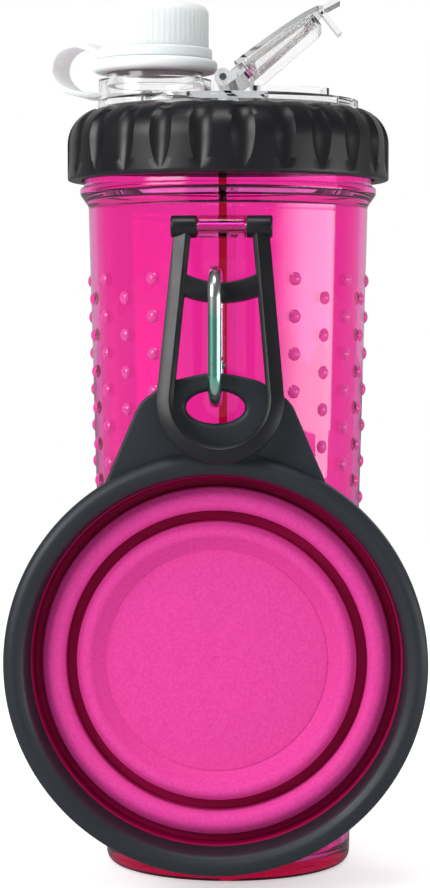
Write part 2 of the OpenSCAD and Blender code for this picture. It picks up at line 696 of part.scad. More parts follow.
hang_x = -1.5;
crossbar_mid = crossbar_drop + crossbar_t / 2;
loop_y = -pivot_reach - crossbar_mid * sin(handle_lean);
loop_top_z = pivot_z - crossbar_drop * cos(handle_lean) + hang_gap + wire_r;
loop_upper_z = loop_top_z - loop_r;
loop_lower_z = loop_upper_z - loop_straight;
rivet_z = loop_lower_z + rivet_rise;
gate_y = loop_y + loop_r;
nose_z = rivet_z + gate_l + seat_gap * 2;
fork_gap = 1.0;
fork_depth = 1.9;
spring_z = loop_lower_z - 2;
spring_r = 0.7;

// One round end of the loop
module loop_end(turn) {
    rotate([turn, 0, 0]) rotate([90, 0, 90]) rotate_extrude(angle = 180)
        translate([loop_r, 0]) circle(wire_r, $fn = 32);
}

module carabiner() {
    fork_top = rivet_z + 1.4;
    color(metal) difference() {
        union() {
            translate([hang_x, loop_y, loop_upper_z]) loop_end(0);
            translate([hang_x, loop_y, loop_lower_z]) loop_end(180);
            translate([hang_x, loop_y - loop_r, loop_lower_z]) cylinder(h = loop_straight, r = wire_r, $fn = 32);
            translate([hang_x, gate_y, loop_lower_z]) cylinder(h = fork_top - loop_lower_z, r = wire_r, $fn = 32);
            translate([hang_x, gate_y, nose_z]) cylinder(h = loop_upper_z - nose_z, r = wire_r, $fn = 32);
        }
        translate([hang_x - fork_gap, gate_y - 3, rivet_z - fork_depth]) cube([2 * fork_gap, 6, 2 * fork_depth + 1]);
        translate([hang_x, gate_y, spring_z]) cylinder(h = rivet_z - spring_z, r = spring_r + 0.15, $fn = 32);
        translate([hang_x, gate_y, rivet_z]) rotate([0, 90, 0])
            cylinder(h = 10, r = rivet_r + pin_gap / 2, center = true, $fn = 32);
    }
}

module gate_rivet() {
    color(steel) translate([hang_x, gate_y, rivet_z]) rotate([0, 90, 0]) {
        cylinder(h = 2 * wire_r + 0.2, r = rivet_r, center = true, $fn = 32);
        for (s = [-1, 1]) translate([0, 0, s * (wire_r + 0.3)]) cylinder(h = 0.5, r = rivet_r + 0.3, center = true, $fn = 32);
    }
}

module gate_spring() {
    color(steel) translate([hang_x, gate_y, spring_z + seat_gap])
        cylinder(h = rivet_z - fork_depth - spring_z - 2 * seat_gap, r = spring_r, $fn = 32);
}

module carabiner_gate() {
    shoulder_z = rivet_z + 2.4;
    color(metal) difference() {
        union() {
            translate([hang_x, gate_y, shoulder_z]) cylinder(h = rivet_z + gate_l - shoulder_z, r = wire_r - 0.05, $fn = 32);
            translate([hang_x, gate_y, rivet_z]) rotate([0, 90, 0])
                cylinder(h = 2 * fork_gap - 0.3, r = 1.45, center = true, $fn = 32);
            translate([hang_x - fork_gap + 0.15, gate_y - 1.2, rivet_z])
                cube([2 * fork_gap - 0.3, 2.4, shoulder_z - rivet_z + 1]);
        }
        translate([hang_x, gate_y, rivet_z]) rotate([0, 90, 0])
            cylinder(h = 10, r = rivet_r + pin_gap, center = true, $fn = 32);
    }
}

// The folding bowl, turned about a level axis from front to back

rim_inner_r = rim_r - rim_w;
ridge1_r = rim_inner_r - ridge_inset;
ridge2_r = ridge1_r - ridge_step;
floor_r = ridge2_r - floor_inset;
tab_top = rim_r + tab_rise;
tab_y = loop_y;
hole_top_z = loop_lower_z - loop_r + wire_r + hang_gap;
bowl_z = hole_top_z + web_h - tab_top;
rim_back_y = tab_y + 4.6;
rim_front_y = rim_back_y - rim_depth;
ridge_y = rim_back_y - 0.3;

// Places a profile of [radius, distance behind the rim's front] round the bowl's axis
module bowl_turned(pts) {
    translate([hang_x, rim_front_y, bowl_z]) rotate([-90, 0, 0]) rotate_extrude() polygon(pts);
}

// Section of the rim: a rounded lip outside, a funnel inside
function rim_profile() = rounded([[rim_r, 1.5], [rim_r, rim_depth - 1], [rim_r - 1.5, rim_depth],
    [rim_inner_r, rim_depth], [rim_inner_r, rim_depth - 0.8], [rim_r - 4.6, 1], [rim_r - 2.6, 0]],
    [3, 0.8, 0.8, 0.1, 0.3, 1.6, 2], 5);

// Outline of the tab, from the bowl's centre: a round top that flares into the rim
function tab_outline() =
    let (root_w = 30.5, root_z = sqrt(pow(rim_r - 2.5, 2) - root_w * root_w), top_w = 17.3)
    rounded([[-root_w, root_z], [-top_w, tab_top - 2.4], [0, tab_top + 0.3], [top_w, tab_top - 2.4],
        [root_w, root_z]], [1, 9, 30, 9, 1], 8);

module bowl_rim() {
    hole_z = hole_top_z - hole_h / 2;
    color(slate) difference() {
        union() {
            bowl_turned(rim_profile());
            difference() {
                translate([hang_x, tab_y, bowl_z]) rotate([90, 0, 0])
                    linear_extrude(tab_t, center = true) polygon(tab_outline());
                translate([hang_x, tab_y, bowl_z]) rotate([90, 0, 0])
                    cylinder(h = 20, r = rim_r - 2, center = true);
            }
        }
        for (s = [-1, 1]) translate([hang_x + s * (hole_w - hole_h) / 2, tab_y, hole_z]) rotate([90, 0, 0])
            cylinder(h = 20, r = hole_h / 2, center = true, $fn = 48);
        translate([hang_x - (hole_w - hole_h) / 2, tab_y - 10, hole_z - hole_h / 2]) cube([hole_w - hole_h, 20, hole_h]);
    }
}

// Distances behind the rim's front of the folds' crests and valleys, and of the floor
crest = rim_depth - 0.7;
valley = crest + fold_depth + 2.9;
floor_mid = valley - 2.2;

// Corners of the folded skin's middle line, from the rim's back to the floor
skin_corners = [[rim_inner_r + 2.4, rim_depth + seat_gap + skin_t / 2],
    [rim_inner_r - 0.9, rim_depth + seat_gap + skin_t / 2], [ridge1_r + 4.2, valley], [ridge1_r, crest],
    [(ridge1_r + ridge2_r) / 2 + 0.3, valley], [ridge2_r, crest + 0.2], [floor_r + 1.9, floor_mid],
    [floor_r + seat_gap, floor_mid]];
skin_radii = [0, 1, 0.9, 1.6, 1.6, 1.6, 1.2, 0];

// One face of a skin, half its thickness to the side of the middle line
function skin_face(line, half_t) = let (m = len(line))
    [for (i = [0:m - 1]) let (u = toward(line[max(i - 1, 0)], line[min(max(i, 1), m - 1)]),
        v = toward(line[min(i, m - 2)], line[min(i + 1, m - 1)]),
        nu = [-u[1], u[0]], nv = [-v[1], v[0]])
        line[i] + half_t * (nu + nv) / (1 + nu * nv)];

// The radius of each corner on a face: more on the outside of a bend, less on the inside
function skin_face_radii(line, radii, half_t) = let (m = len(line))
    [for (i = [0:m - 1]) i == 0 || i == m - 1 ? 0.05 :
        let (u = toward(line[i - 1], line[i]), v = toward(line[i], line[i + 1]),
            turn = sign(u[0] * v[1] - u[1] * v[0]))
        max(radii[i] - turn * half_t, 0.1)];

function reversed(list) = [for (i = [len(list) - 1:-1:0]) list[i]];

function skin_outline(line, radii, t) = rounded(
    concat(skin_face(line, t / 2), reversed(skin_face(line, -t / 2))),
    concat(skin_face_radii(line, radii, t / 2), reversed(skin_face_radii(line, radii, -t / 2))), 5);

module bowl_folds() {
    color(silicone) bowl_turned(skin_outline(skin_corners, skin_radii, skin_t));
}

module bowl_floor() {
    color(silicone) bowl_turned([[0, floor_mid - bowl_floor_t / 2], [floor_r, floor_mid - bowl_floor_t / 2],
        [floor_r, floor_mid + bowl_floor_t / 2], [0, floor_mid + bowl_floor_t / 2]]);
}

bottle_body();
grip_studs();
handle_pin();
lid_plate();
lid_gasket();
collar();
tether_eyelet();
tether_strap();
tether_ring();
spout_cap();
cap_liner();
hatch_pin();
food_hatch();
hatch_seal();
carry_handle();
carabiner();
gate_rivet();
gate_spring();
carabiner_gate();
bowl_rim();
bowl_folds();
bowl_floor();
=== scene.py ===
"""Dresses a dog's travel water bottle: a see-through tumbler with a screw collar, a spout, a food
hatch and a folding bowl that hangs from the carry handle on a small carabiner.

Sizes in the classes are millimetres; every mesh is built in metres, in the frame of the CAD model.
"""

from __future__ import annotations

import logging
import math
import sys
from dataclasses import dataclass
from enum import Enum
from typing import Sequence

import bmesh
import bpy
from mathutils import Matrix, Vector
from mathutils.geometry import tessellate_polygon
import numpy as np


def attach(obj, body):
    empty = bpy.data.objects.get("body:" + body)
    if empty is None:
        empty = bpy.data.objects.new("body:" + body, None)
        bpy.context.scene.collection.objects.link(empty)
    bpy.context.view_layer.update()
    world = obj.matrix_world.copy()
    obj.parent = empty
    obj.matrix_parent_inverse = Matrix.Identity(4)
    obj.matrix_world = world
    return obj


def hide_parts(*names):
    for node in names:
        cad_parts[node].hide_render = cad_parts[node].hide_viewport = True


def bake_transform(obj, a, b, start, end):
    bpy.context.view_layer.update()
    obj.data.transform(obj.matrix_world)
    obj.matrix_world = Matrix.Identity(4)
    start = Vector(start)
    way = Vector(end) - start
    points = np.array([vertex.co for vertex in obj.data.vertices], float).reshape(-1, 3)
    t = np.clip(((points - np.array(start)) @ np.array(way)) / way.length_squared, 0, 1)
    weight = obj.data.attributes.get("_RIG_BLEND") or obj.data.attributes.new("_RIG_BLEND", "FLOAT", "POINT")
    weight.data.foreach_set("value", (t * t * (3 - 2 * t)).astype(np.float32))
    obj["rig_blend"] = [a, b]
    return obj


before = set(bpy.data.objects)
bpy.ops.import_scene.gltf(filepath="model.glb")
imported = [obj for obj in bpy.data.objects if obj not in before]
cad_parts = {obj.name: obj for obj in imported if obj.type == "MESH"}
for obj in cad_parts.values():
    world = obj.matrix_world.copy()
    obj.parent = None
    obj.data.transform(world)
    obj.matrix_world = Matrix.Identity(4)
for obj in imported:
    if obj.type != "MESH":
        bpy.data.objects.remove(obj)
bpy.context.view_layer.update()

log = logging.getLogger("water_bottle")

MM = 0.001
SHARP_ANGLE = math.radians(32)

Point = tuple[float, float]
Ring = list[Vector]


class Slot(Enum):
    """The record's material slots."""

    PINK_BODY = "pink_body"
    FROSTED = "frosted_plastic"
    BLACK = "black_plastic"
    SLATE = "slate_plastic"
    PINK_SILICONE = "pink_silicone"


class Body(Enum):
    """The bodies that the pieces ride on."""

    BOTTLE = "bottle"
    LID = "lid"
    COLLAR = "collar"
    TETHER_RING = "tether_ring"
    CAP = "cap"
    HANDLE = "handle"
    BOWL_RIM = "bowl_rim"
    BOWL_FLOOR = "bowl_floor"


class Operation(Enum):
    """How one closed mesh is combined with another."""

    JOIN = "UNION"
    CUT = "DIFFERENCE"


# Colour and nodes


def linear(code: str) -> tuple[float, float, float, float]:
    """Turns an sRGB hex colour into the linear colour that the shader wants.

    Args:
        code: A colour such as "#1E2025".

    Returns:
        Red, green, blue and an alpha of one.
    """
    values = [int(code[i : i + 2], 16) / 255 for i in (1, 3, 5)]
    r, g, b = [v / 12.92 if v <= 0.04045 else ((v + 0.055) / 1.055) ** 2.4 for v in values]
    return (r, g, b, 1.0)


def add_node(tree: bpy.types.NodeTree, kind: str, inputs: dict | None = None, **settings) -> bpy.types.Node:
    """Adds a node with its settings, and fills or links its inputs.

    Args:
        tree: The node tree that the node joins.
        kind: The node's type name.
        inputs: For each input name or number, a value, or the output socket that feeds it.
        settings: Properties of the node itself.

    Returns:
        The new node.
    """
    node = tree.nodes.new(kind)
    for name, value in settings.items():
        setattr(node, name, value)
    for name, value in (inputs or {}).items():
        if isinstance(value, bpy.types.NodeSocket):
            tree.links.new(value, node.inputs[name])
        else:
            node.inputs[name].default_value = value
    return node


def per_metre(size_mm: float) -> float:
    """Returns the scale of a pattern whose features measure size_mm."""
    return 1 / (size_mm * MM)


# Outlines and meshes


def arc(centre: Point, radius: float, start: float, end: float, steps: int) -> list[Point]:
    """Lists points along an arc.

    Args:
        centre: Centre of the arc.
        radius: Its radius.
        start: Angle of the first point, in degrees.
        end: Angle of the last point, in degrees.
        steps: Number of equal steps between them.

    Returns:
        The points, both ends included.
    """
    angles = [math.radians(start + (end - start) * i / steps) for i in range(steps + 1)]
    return [(centre[0] + radius * math.cos(a), centre[1] + radius * math.sin(a)) for a in angles]


def rounded(
    corners: Sequence[tuple[float, float, float]], steps: int = 6, closed: bool = True
) -> list[Point]:
    """Rounds the corners of an outline, each by its own radius.

    Args:
        corners: Points (x, y, radius). A radius of zero keeps the corner sharp.
        steps: Number of steps along each rounded corner.
        closed: Whether the last point joins the first.

    Returns:
        The rounded outline.
    """
    count = len(corners)
    result: list[Point] = []
    for i, (x, y, radius) in enumerate(corners):
        if radius <= 0 or (not closed and i in (0, count - 1)):
            result.append((x, y))
            continue
        here = Vector((x, y))
        before = Vector(corners[i - 1][:2]) - here
        after = Vector(corners[(i + 1) % count][:2]) - here
        u, v = before.normalized(), after.normalized()
        half = u.angle(v) / 2
        if half > math.pi / 2 - 1e-3:
            result.append((x, y))
            continue
        reach = min(radius / math.tan(half), before.length * 0.49, after.length * 0.49)
        r = reach * math.tan(half)
        centre = here + (u + v).normalized() * r / math.sin(half)
        s, e = here + u * reach - centre, here + v * reach - centre
        a0 = math.atan2(s.y, s.x)
        turn = math.atan2(s.x * e.y - s.y * e.x, s.dot(e))
        for k in range(steps + 1):
            a = a0 + turn * k / steps
            result.append((centre.x + r * math.cos(a), centre.y + r * math.sin(a)))
    return result


def inset(outline: Sequence[Point], distance: float) -> list[Point]:
    """Moves a closed outline to the left of the way that it runs.

    Args:
        outline: The points in order.
        distance: How far each point moves along its own normal.

    Returns:
        The moved points.
    """
    count = len(outline)
    result: list[Point] = []
    for i in range(count):
        p = Vector(outline[i])
        u = (p - Vector(outline[i - 1])).normalized()
        v = (Vector(outline[(i + 1) % count]) - p).normalized()
        normal = Vector((-u.y - v.y, u.x + v.x))
        share = max(1 + u.dot(v), 0.5)
        result.append(tuple(p + normal * distance / share))
    return result


def finish_mesh(name: str, bm: bmesh.types.BMesh, sharp: float = SHARP_ANGLE) -> bpy.types.Object:
    """Turns a bmesh into an object with clean, outward and smooth faces.

    Args:
        name: The object's name.
        bm: The mesh, which is freed.
        sharp: Edges that bend more than this angle stay sharp.

    Returns:
        The object, linked to the scene.
    """
    bmesh.ops.remove_doubles(bm, verts=bm.verts, dist=1e-7)
    bmesh.ops.recalc_face_normals(bm, faces=bm.faces)
    mesh = bpy.data.meshes.new(name)
    bm.to_mesh(mesh)
    bm.free()
    mesh.shade_smooth()
    mesh.set_sharp_from_angle(angle=sharp)
    piece = bpy.data.objects.new(name, mesh)
    bpy.context.scene.collection.objects.link(piece)
    return piece


def add_rings(
    bm: bmesh.types.BMesh, rings: Sequence[Ring], looped: bool = False, capped: bool = False
) -> None:
    """Adds a skin of quads over closed rings of points.

    Args:
        bm: The mesh that takes the faces.
        rings: Rings with the same number of points, in millimetres.
        looped: Whether the last ring joins the first.
        capped: Whether the first and last ring are closed with a face.
    """
    rows = [[bm.verts.new(p * MM) for p in ring] for ring in rings]
    count = len(rows[0])
    pairs = list(zip(rows, rows[1:])) + ([(rows[-1], rows[0])] if looped else [])
    for a, b in pairs:
        for i in range(count):
            j = (i + 1) % count
            bm.faces.new((a[i], a[j], b[j], b[i]))
    if capped:
        bm.faces.new(reversed(rows[0]))
        bm.faces.new(rows[-1])


def skin(name: str, rings: Sequence[Ring], looped: bool = False, capped: bool = False) -> bpy.types.Object:
    """Builds one object from rings of points.

    Args:
        name: The object's name.
        rings: Rings with the same number of points, in millimetres.
        looped: Whether the last ring joins the first.
        capped: Whether both ends are closed with a face.

    Returns:
        The object.
    """
    bm = bmesh.new()
    add_rings(bm, rings, looped, capped)
    return finish_mesh(name, bm)


def turned_rings(profile: Sequence[Point], segments: int, place: Matrix | None = None) -> list[Ring]:
    """Turns a profile about the z axis.

    Args:
        profile: Points (radius, height), in millimetres.
        segments: Number of points on each ring.
        place: Where the turned form goes, in millimetres.

    Returns:
        One ring for each point of the profile.
    """
    where = place or Matrix.Identity(4)
    turns = [2 * math.pi * i / segments for i in range(segments)]
    return [[where @ Vector((r * math.cos(a), r * math.sin(a), z)) for a in turns] for r, z in profile]


def turned(
    name: str, profile: Sequence[Point], segments: int, place: Matrix | None = None, looped: bool = True
) -> bpy.types.Object:
    """Builds a turned object.

    Args:
        name: The object's name.
        profile: Points (radius, height), in millimetres.
        segments: Number of points on each ring.
        place: Where the turned form goes, in millimetres.
        looped: False where the profile starts and ends on the axis.

    Returns:
        The object.
    """
    return skin(name, turned_rings(profile, segments, place), looped=looped)


def swept(
    name: str, section: Sequence[Point], stations: Sequence[tuple[Vector, Vector, Vector]]
) -> bpy.types.Object:
    """Sweeps a closed section along stations.

    Args:
        name: The object's name.
        section: Points of the section.
        stations: For each ring, its origin and the directions of the section's two axes.

    Returns:
        The object, with both ends closed.
    """
    rings = [[o + side * p[0] + up * p[1] for p in section] for o, side, up in stations]
    return skin(name, rings, capped=True)


def plate(
    name: str,
    loops: Sequence[tuple[Sequence[Point], float]],
    thickness: float,
    place: Matrix,
    steps: int = 4,
) -> bpy.types.Object:
    """Builds a flat plate with rounded edges and holes.

    Args:
        name: The object's name.
        loops: The outline, anticlockwise, then the holes, clockwise, each with its edge radius.
        thickness: Thickness of the plate, along the local z axis and centred on it.
        place: Where the plate goes, in millimetres.
        steps: Steps in the rounding of an edge.

    Returns:
        The object.
    """
    bm = bmesh.new()
    faces: list[list[Point]] = []
    quarter = [i / steps * math.pi / 2 for i in range(steps + 1)]
    for outline, edge in loops:
        front = [(edge * (1 - math.sin(a)), -thickness / 2 + edge * (1 - math.cos(a))) for a in quarter]
        levels = front + [(gap, -z) for gap, z in reversed(front)]
        rings = [[place @ Vector((x, y, z)) for x, y in inset(outline, gap)] for gap, z in levels]
        add_rings(bm, rings)
        faces.append(inset(outline, edge))
    flat = [p for loop in faces for p in loop]
    triangles = tessellate_polygon([[Vector((x, y, 0)) for x, y in loop] for loop in faces])
    for z in (-thickness / 2, thickness / 2):
        corners = [bm.verts.new(place @ Vector((x, y, z)) * MM) for x, y in flat]
        for triangle in triangles:
            bm.faces.new([corners[i] for i in triangle])
    return finish_mesh(name, bm)


def combine(base: bpy.types.Object, tool: bpy.types.Object, operation: Operation) -> bpy.types.Object:
    """Joins a closed mesh to another, or cuts it out, and removes the tool.

    Args:
        base: The object that is changed.
        tool: The object that is joined or cut out.
        operation: What is done.

    Returns:
        The changed base.
    """
    modifier = base.modifiers.new("combine", "BOOLEAN")
    modifier.operation = operation.value
    modifier.solver = "MANIFOLD"
    modifier.object = tool
    graph = bpy.context.evaluated_depsgraph_get()
    result = bpy.data.meshes.new_from_object(base.evaluated_get(graph))
    base.modifiers.clear()
    base.data = result
    bpy.data.objects.remove(tool)
    base.data.shade_smooth()
    base.data.set_sharp_from_angle(angle=SHARP_ANGLE)
    return base


def bored(
    piece: bpy.types.Object, radius: float, reach: float, place: Matrix
) -> bpy.types.Object:
    """Cuts a round hole through a piece, for a pin.

    Args:
        piece: The piece that is bored.
        radius: Radius of the hole.
        reach: How far the tool reaches to each side of its place.
        place: The middle of the hole, with the hole along its z axis.

    Returns:
        The bored piece.
    """
    profile = [(0.0, -reach), (radius, -reach), (radius, reach), (0.0, reach)]
    return combine(piece, turned("bore", profile, 48, place, looped=False), Operation.CUT)


# Finishes


@dataclass(frozen=True)
class Grain:
    """A fine moulded grain: its bumps, a second colour, and how the gloss drifts in larger patches."""

    size_mm: float
    depth_mm: float
    strength: float = 0.5
    other_colour: str = ""
    roughness_spread: float = 0.06
    patch_ratio: float = 40.0


@dataclass(frozen=True)
class Finish:
    """A finish that starts from what the real material is and how its surface was made."""

    name: str
    colour: str
    roughness: float
    ior: float = 1.5
    metallic: float = 0.0
    transmission: float = 0.0
    scatter: float = 0.0
    scatter_mm: float = 1.0
    soak: tuple[float, float, float] = (1.0, 0.6, 0.7)
    specular: float = 0.5
    grain: Grain | None = None

    def material(self) -> bpy.types.Material:
        """Returns the material, made on first use and shared after that."""
        return bpy.data.materials.get(self.name) or self.build()

    def build(self) -> bpy.types.Material:
        """Makes the material with its shader and its grain.

        Returns:
            The new material.
        """
        material = bpy.data.materials.new(self.name)
        material.use_nodes = True
        tree = material.node_tree
        tree.nodes.clear()
        shader = add_node(tree, "ShaderNodeBsdfPrincipled")
        output = add_node(tree, "ShaderNodeOutputMaterial", {"Surface": shader.outputs[0]})
        self.set_constants(shader)
        if self.grain:
            self.add_grain(tree, shader, self.grain)
        self.add_own(tree, shader, output)
        return material

    def set_constants(self, shader: bpy.types.Node) -> None:
        """Sets what is the same all over the surface on the shader's own sockets.

        Args:
            shader: The Principled shader.
        """
        values = {
            "Base Color": linear(self.colour),
            "Roughness": self.roughness,
            "IOR": self.ior,
            "Metallic": self.metallic,
            "Transmission Weight": self.transmission,
            "Subsurface Weight": self.scatter,
            "Subsurface Scale": self.scatter_mm * MM,
            "Specular IOR Level": self.specular,
        }
        for name, value in values.items():
            shader.inputs[name].default_value = value
        if self.scatter:
            shader.inputs["Subsurface Radius"].default_value = self.soak

    def add_grain(self, tree: bpy.types.NodeTree, shader: bpy.types.Node, grain: Grain) -> None:
        """Adds the moulded grain to the bump, the roughness and the colour.

        Args:
            tree: The material's node tree.
            shader: The Principled shader.
            grain: The grain's sizes.
        """
        place = add_node(tree, "ShaderNodeTexCoord").outputs["Object"]
        fine = add_node(
            tree,
            "ShaderNodeTexNoise",
            {"Vector": place, "Scale": per_metre(grain.size_mm), "Detail": 3.0, "Roughness": 0.55},
        )
        broad = add_node(
            tree,
            "ShaderNodeTexNoise",
            {"Vector": place, "Scale": per_metre(grain.size_mm * grain.patch_ratio), "Detail": 2.0},
        )
        bump = add_node(
            tree,
            "ShaderNodeBump",
            {
                "Strength": grain.strength,
                "Distance": grain.depth_mm * MM,
                "Height": fine.outputs["Fac"],
            },
        )
        tree.links.new(bump.outputs["Normal"], shader.inputs["Normal"])
        spread = grain.roughness_spread
        rough = add_node(
            tree,
            "ShaderNodeMapRange",
            {
                "Value": broad.outputs["Fac"],
                "From Min": 0.3,
                "From Max": 0.7,
                "To Min": self.roughness - spread,
                "To Max": self.roughness + spread,
            },
        )
        tree.links.new(rough.outputs["Result"], shader.inputs["Roughness"])
        if grain.other_colour:
            colours = add_node(
                tree,
                "ShaderNodeMix",
                {
                    0: fine.outputs["Fac"],
                    6: linear(self.colour),
                    7: linear(grain.other_colour),
                },
                data_type="RGBA",
            )
            tree.links.new(colours.outputs[2], shader.inputs["Base Color"])

    def add_own(self, tree: bpy.types.NodeTree, shader: bpy.types.Node, output: bpy.types.Node) -> None:
        """Adds what only one kind of finish has. The plain finish adds nothing.

        Args:
            tree: The material's node tree.
            shader: The Principled shader.
            output: The material's output.
        """


@dataclass(frozen=True)
class TintedPlastic(Finish):
    """A see-through plastic whose wall swallows light, so that it looks darker edge on."""

    passed: tuple[float, float, float] = (1.0, 1.0, 1.0)
    wall_mm: float = 2.0
    swallow: float = 900.0

    def add_own(self, tree: bpy.types.NodeTree, shader: bpy.types.Node, output: bpy.types.Node) -> None:
        """Adds the absorption in the wall, worked out from what one wall lets through.

        Args:
            tree: The material's node tree.
            shader: The Principled shader.
            output: The material's output.
        """
        losses = [-math.log(share) / (self.wall_mm * MM) for share in self.passed]
        colour = [max(0.0, 1 - loss / self.swallow) for loss in losses]
        inside = add_node(
            tree, "ShaderNodeVolumeAbsorption", {"Color": (*colour, 1.0), "Density": self.swallow}
        )
        tree.links.new(inside.outputs[0], output.inputs["Volume"])


@dataclass(frozen=True)
class SiliconeWithPaintedFoldShade(Finish):
    """Silicone with painted shade: a darker colour is painted down in its folds, where shade falls."""

    # painted shade: the dark colour that is mixed in down in the folds
    painted_shade_colour: str = "#7A0238"
    attribute: str = "painted_fold_shade"

    def add_own(self, tree: bpy.types.NodeTree, shader: bpy.types.Node, output: bpy.types.Node) -> None:
        """Mixes in the painted shade colour by how far down in a fold the skin lies.

        Args:
            tree: The material's node tree.
            shader: The Principled shader.
            output: The material's output.
        """
        plain = shader.inputs["Base Color"].links[0].from_socket
        deep = add_node(tree, "ShaderNodeAttribute", attribute_name=self.attribute)
        colours = add_node(
            tree,
            "ShaderNodeMix",
            {0: deep.outputs["Fac"], 6: plain, 7: linear(self.painted_shade_colour)},
            data_type="RGBA",
        )
        tree.links.new(colours.outputs[2], shader.inputs["Base Color"])


@dataclass(frozen=True)
class AnodisedWireWithPaintedReflection(Finish):
    """Anodised wire with silver painted at its two bends as painted reflection."""

    painted_reflection_colour: str = "#E9ECEC"
    low_mm: float = 0.0
    high_mm: float = 1.0
    fade_mm: float = 4.0

    def add_own(self, tree: bpy.types.NodeTree, shader: bpy.types.Node, output: bpy.types.Node) -> None:
        """Adds the change from the dyed middle to the ends painted silver as painted reflection, by height
        on the wire.

        Args:
            tree: The material's node tree.
            shader: The Principled shader.
            output: The material's output.
        """
        place = add_node(tree, "ShaderNodeTexCoord").outputs["Object"]
        height = add_node(tree, "ShaderNodeSeparateXYZ", {0: place}).outputs["Z"]
        edges = []
        for level, sign in ((self.low_mm, 1), (self.high_mm, -1)):
            edges.append(
                add_node(
                    tree,
                    "ShaderNodeMapRange",
                    {
                        "Value": height,
                        "From Min": (level - sign * self.fade_mm) * MM,
                        "From Max": (level + sign * self.fade_mm) * MM,
                    },
                    interpolation_type="SMOOTHSTEP",
                )
            )
        middle = add_node(
            tree,
            "ShaderNodeMath",
            {0: edges[0].outputs["Result"], 1: edges[1].outputs["Result"]},
            operation="MULTIPLY",
        )
        # painted reflection: silver at both ends, mint in the middle
        colours = add_node(
            tree,
            "ShaderNodeMix",
            {0: middle.outputs[0], 6: linear(self.painted_reflection_colour), 7: linear(self.colour)},
            data_type="RGBA",
        )
        tree.links.new(colours.outputs[2], shader.inputs["Base Color"])


# Injection-moulded see-through copolyester: a clear magenta that deepens where the wall is seen edge on
TINTED_COPOLYESTER = TintedPlastic(
    "tinted_copolyester_moulded",
    colour="#FA75CE",
    roughness=0.02,
    ior=1.52,
    transmission=1.0,
    passed=(0.974, 0.85, 0.918),
)
# The same copolyester on the grip studs, lightly blasted in the mould: pink caps with a soft bright middle
STUD_COPOLYESTER = TintedPlastic(
    "tinted_copolyester_blasted",
    colour="#FF4FB0",
    roughness=0.12,
    ior=1.52,
    transmission=0.35,
    passed=(0.974, 0.85, 0.918),
)
# Injection-moulded clear polycarbonate: colourless, with grey lines where its edges bend the light
CLEAR_POLYCARBONATE = TintedPlastic(
    "clear_polycarbonate_moulded",
    colour="#FFFFFF",
    roughness=0.03,
    ior=1.53,
    transmission=1.0,
    passed=(0.985, 0.986, 0.987),
    swallow=20.0,
)
# Moulded natural polypropylene: milky, bright where light soaks through, with a soft sheen
FROSTED_POLYPROPYLENE = Finish(
    "frosted_polypropylene_moulded",
    colour="#F6F7FA",
    roughness=0.4,
    ior=1.49,
    transmission=0.1,
    scatter=0.6,
    scatter_mm=5.0,
    grain=Grain(size_mm=0.6, depth_mm=0.02, strength=0.3, roughness_spread=0.04),
)
# Moulded black polypropylene with a fine spark-eroded grain: near black, with wide soft highlights
BLACK_POLYPROPYLENE = Finish(
    "black_polypropylene_grained",
    colour="#101114",
    roughness=0.36,
    ior=1.49,
    grain=Grain(size_mm=0.35, depth_mm=0.03, strength=0.35, other_colour="#15161A"),
)
# Moulded slate polypropylene, a little duller than the black: reads as dark blue grey
SLATE_POLYPROPYLENE = Finish(
    "slate_polypropylene_grained",
    colour="#1B2026",
    roughness=0.46,
    ior=1.49,
    grain=Grain(size_mm=0.35, depth_mm=0.04, strength=0.4, other_colour="#222930"),
)
# Compression-moulded silicone with a fine matt grain: soft pink light, with deep crimson painted down in the
# folds as painted shade
PINK_SILICONE = SiliconeWithPaintedFoldShade(
    "pink_silicone_moulded",
    colour="#C32C84",
    roughness=0.6,
    ior=1.41,
    specular=0.15,
    grain=Grain(size_mm=0.7, depth_mm=0.12, strength=0.9, other_colour="#DE4A9C"),
    painted_shade_colour="#940040",
)
# Translucent white silicone, as in gaskets: dull and slightly milky
SEAL_SILICONE = Finish(
    "seal_silicone_moulded",
    colour="#E9E9E4",
    roughness=0.55,
    ior=1.41,
    scatter=0.4,
    scatter_mm=1.5,
    grain=Grain(size_mm=0.5, depth_mm=0.02, strength=0.3),
)
# Polished aluminium wire, anodised mint green: clear green reflections, with silver painted at the bends as
# painted reflection
ANODISED_ALUMINIUM = AnodisedWireWithPaintedReflection(
    "anodised_aluminium_polished",
    colour="#98E4CF",
    roughness=0.24,
    metallic=1.0,
    low_mm=133.5,
    high_mm=155.0,
)
# Bright drawn steel wire: hard narrow reflections with a trace of the drawing marks
DRAWN_STEEL = Finish(
    "steel_wire_drawn",
    colour="#C9CBCE",
    roughness=0.2,
    metallic=1.0,
    grain=Grain(size_mm=0.3, depth_mm=0.01, strength=0.2, roughness_spread=0.05),
)


def dress(piece: bpy.types.Object, finish: Finish) -> None:
    """Gives a piece its material.

    Args:
        piece: A new piece or a CAD node.
        finish: Its finish.
    """
    material = finish.material()
    if not piece.material_slots:
        piece.data.materials.append(material)
    for slot in piece.material_slots:
        slot.material = material


def seat(piece: bpy.types.Object, body: Body, finish: Finish, slot: Slot, *nodes: str) -> bpy.types.Object:
    """Dresses a new piece, lets it ride on a body and hides the CAD nodes that it stands for.

    Args:
        piece: The new piece.
        body: The body that it rides on.
        finish: Its finish.
        slot: The record's slot for that finish. Not used.
        nodes: Names of the CAD nodes that it replaces.

    Returns:
        The piece.
    """
    dress(piece, finish)
    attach(piece, body.value)
    if nodes:
        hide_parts(*nodes)
    log.info("%s: %d faces on %s", piece.name, len(piece.data.polygons), body.value)
    return piece


def dress_node(name: str, finish: Finish) -> None:
    """Gives a CAD node its material.

    Args:
        name: The node's name.
        finish: Its finish.
    """
    dress(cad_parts[name], finish)
    log.info("%s: CAD node, %s", name, finish.name)


# The studio


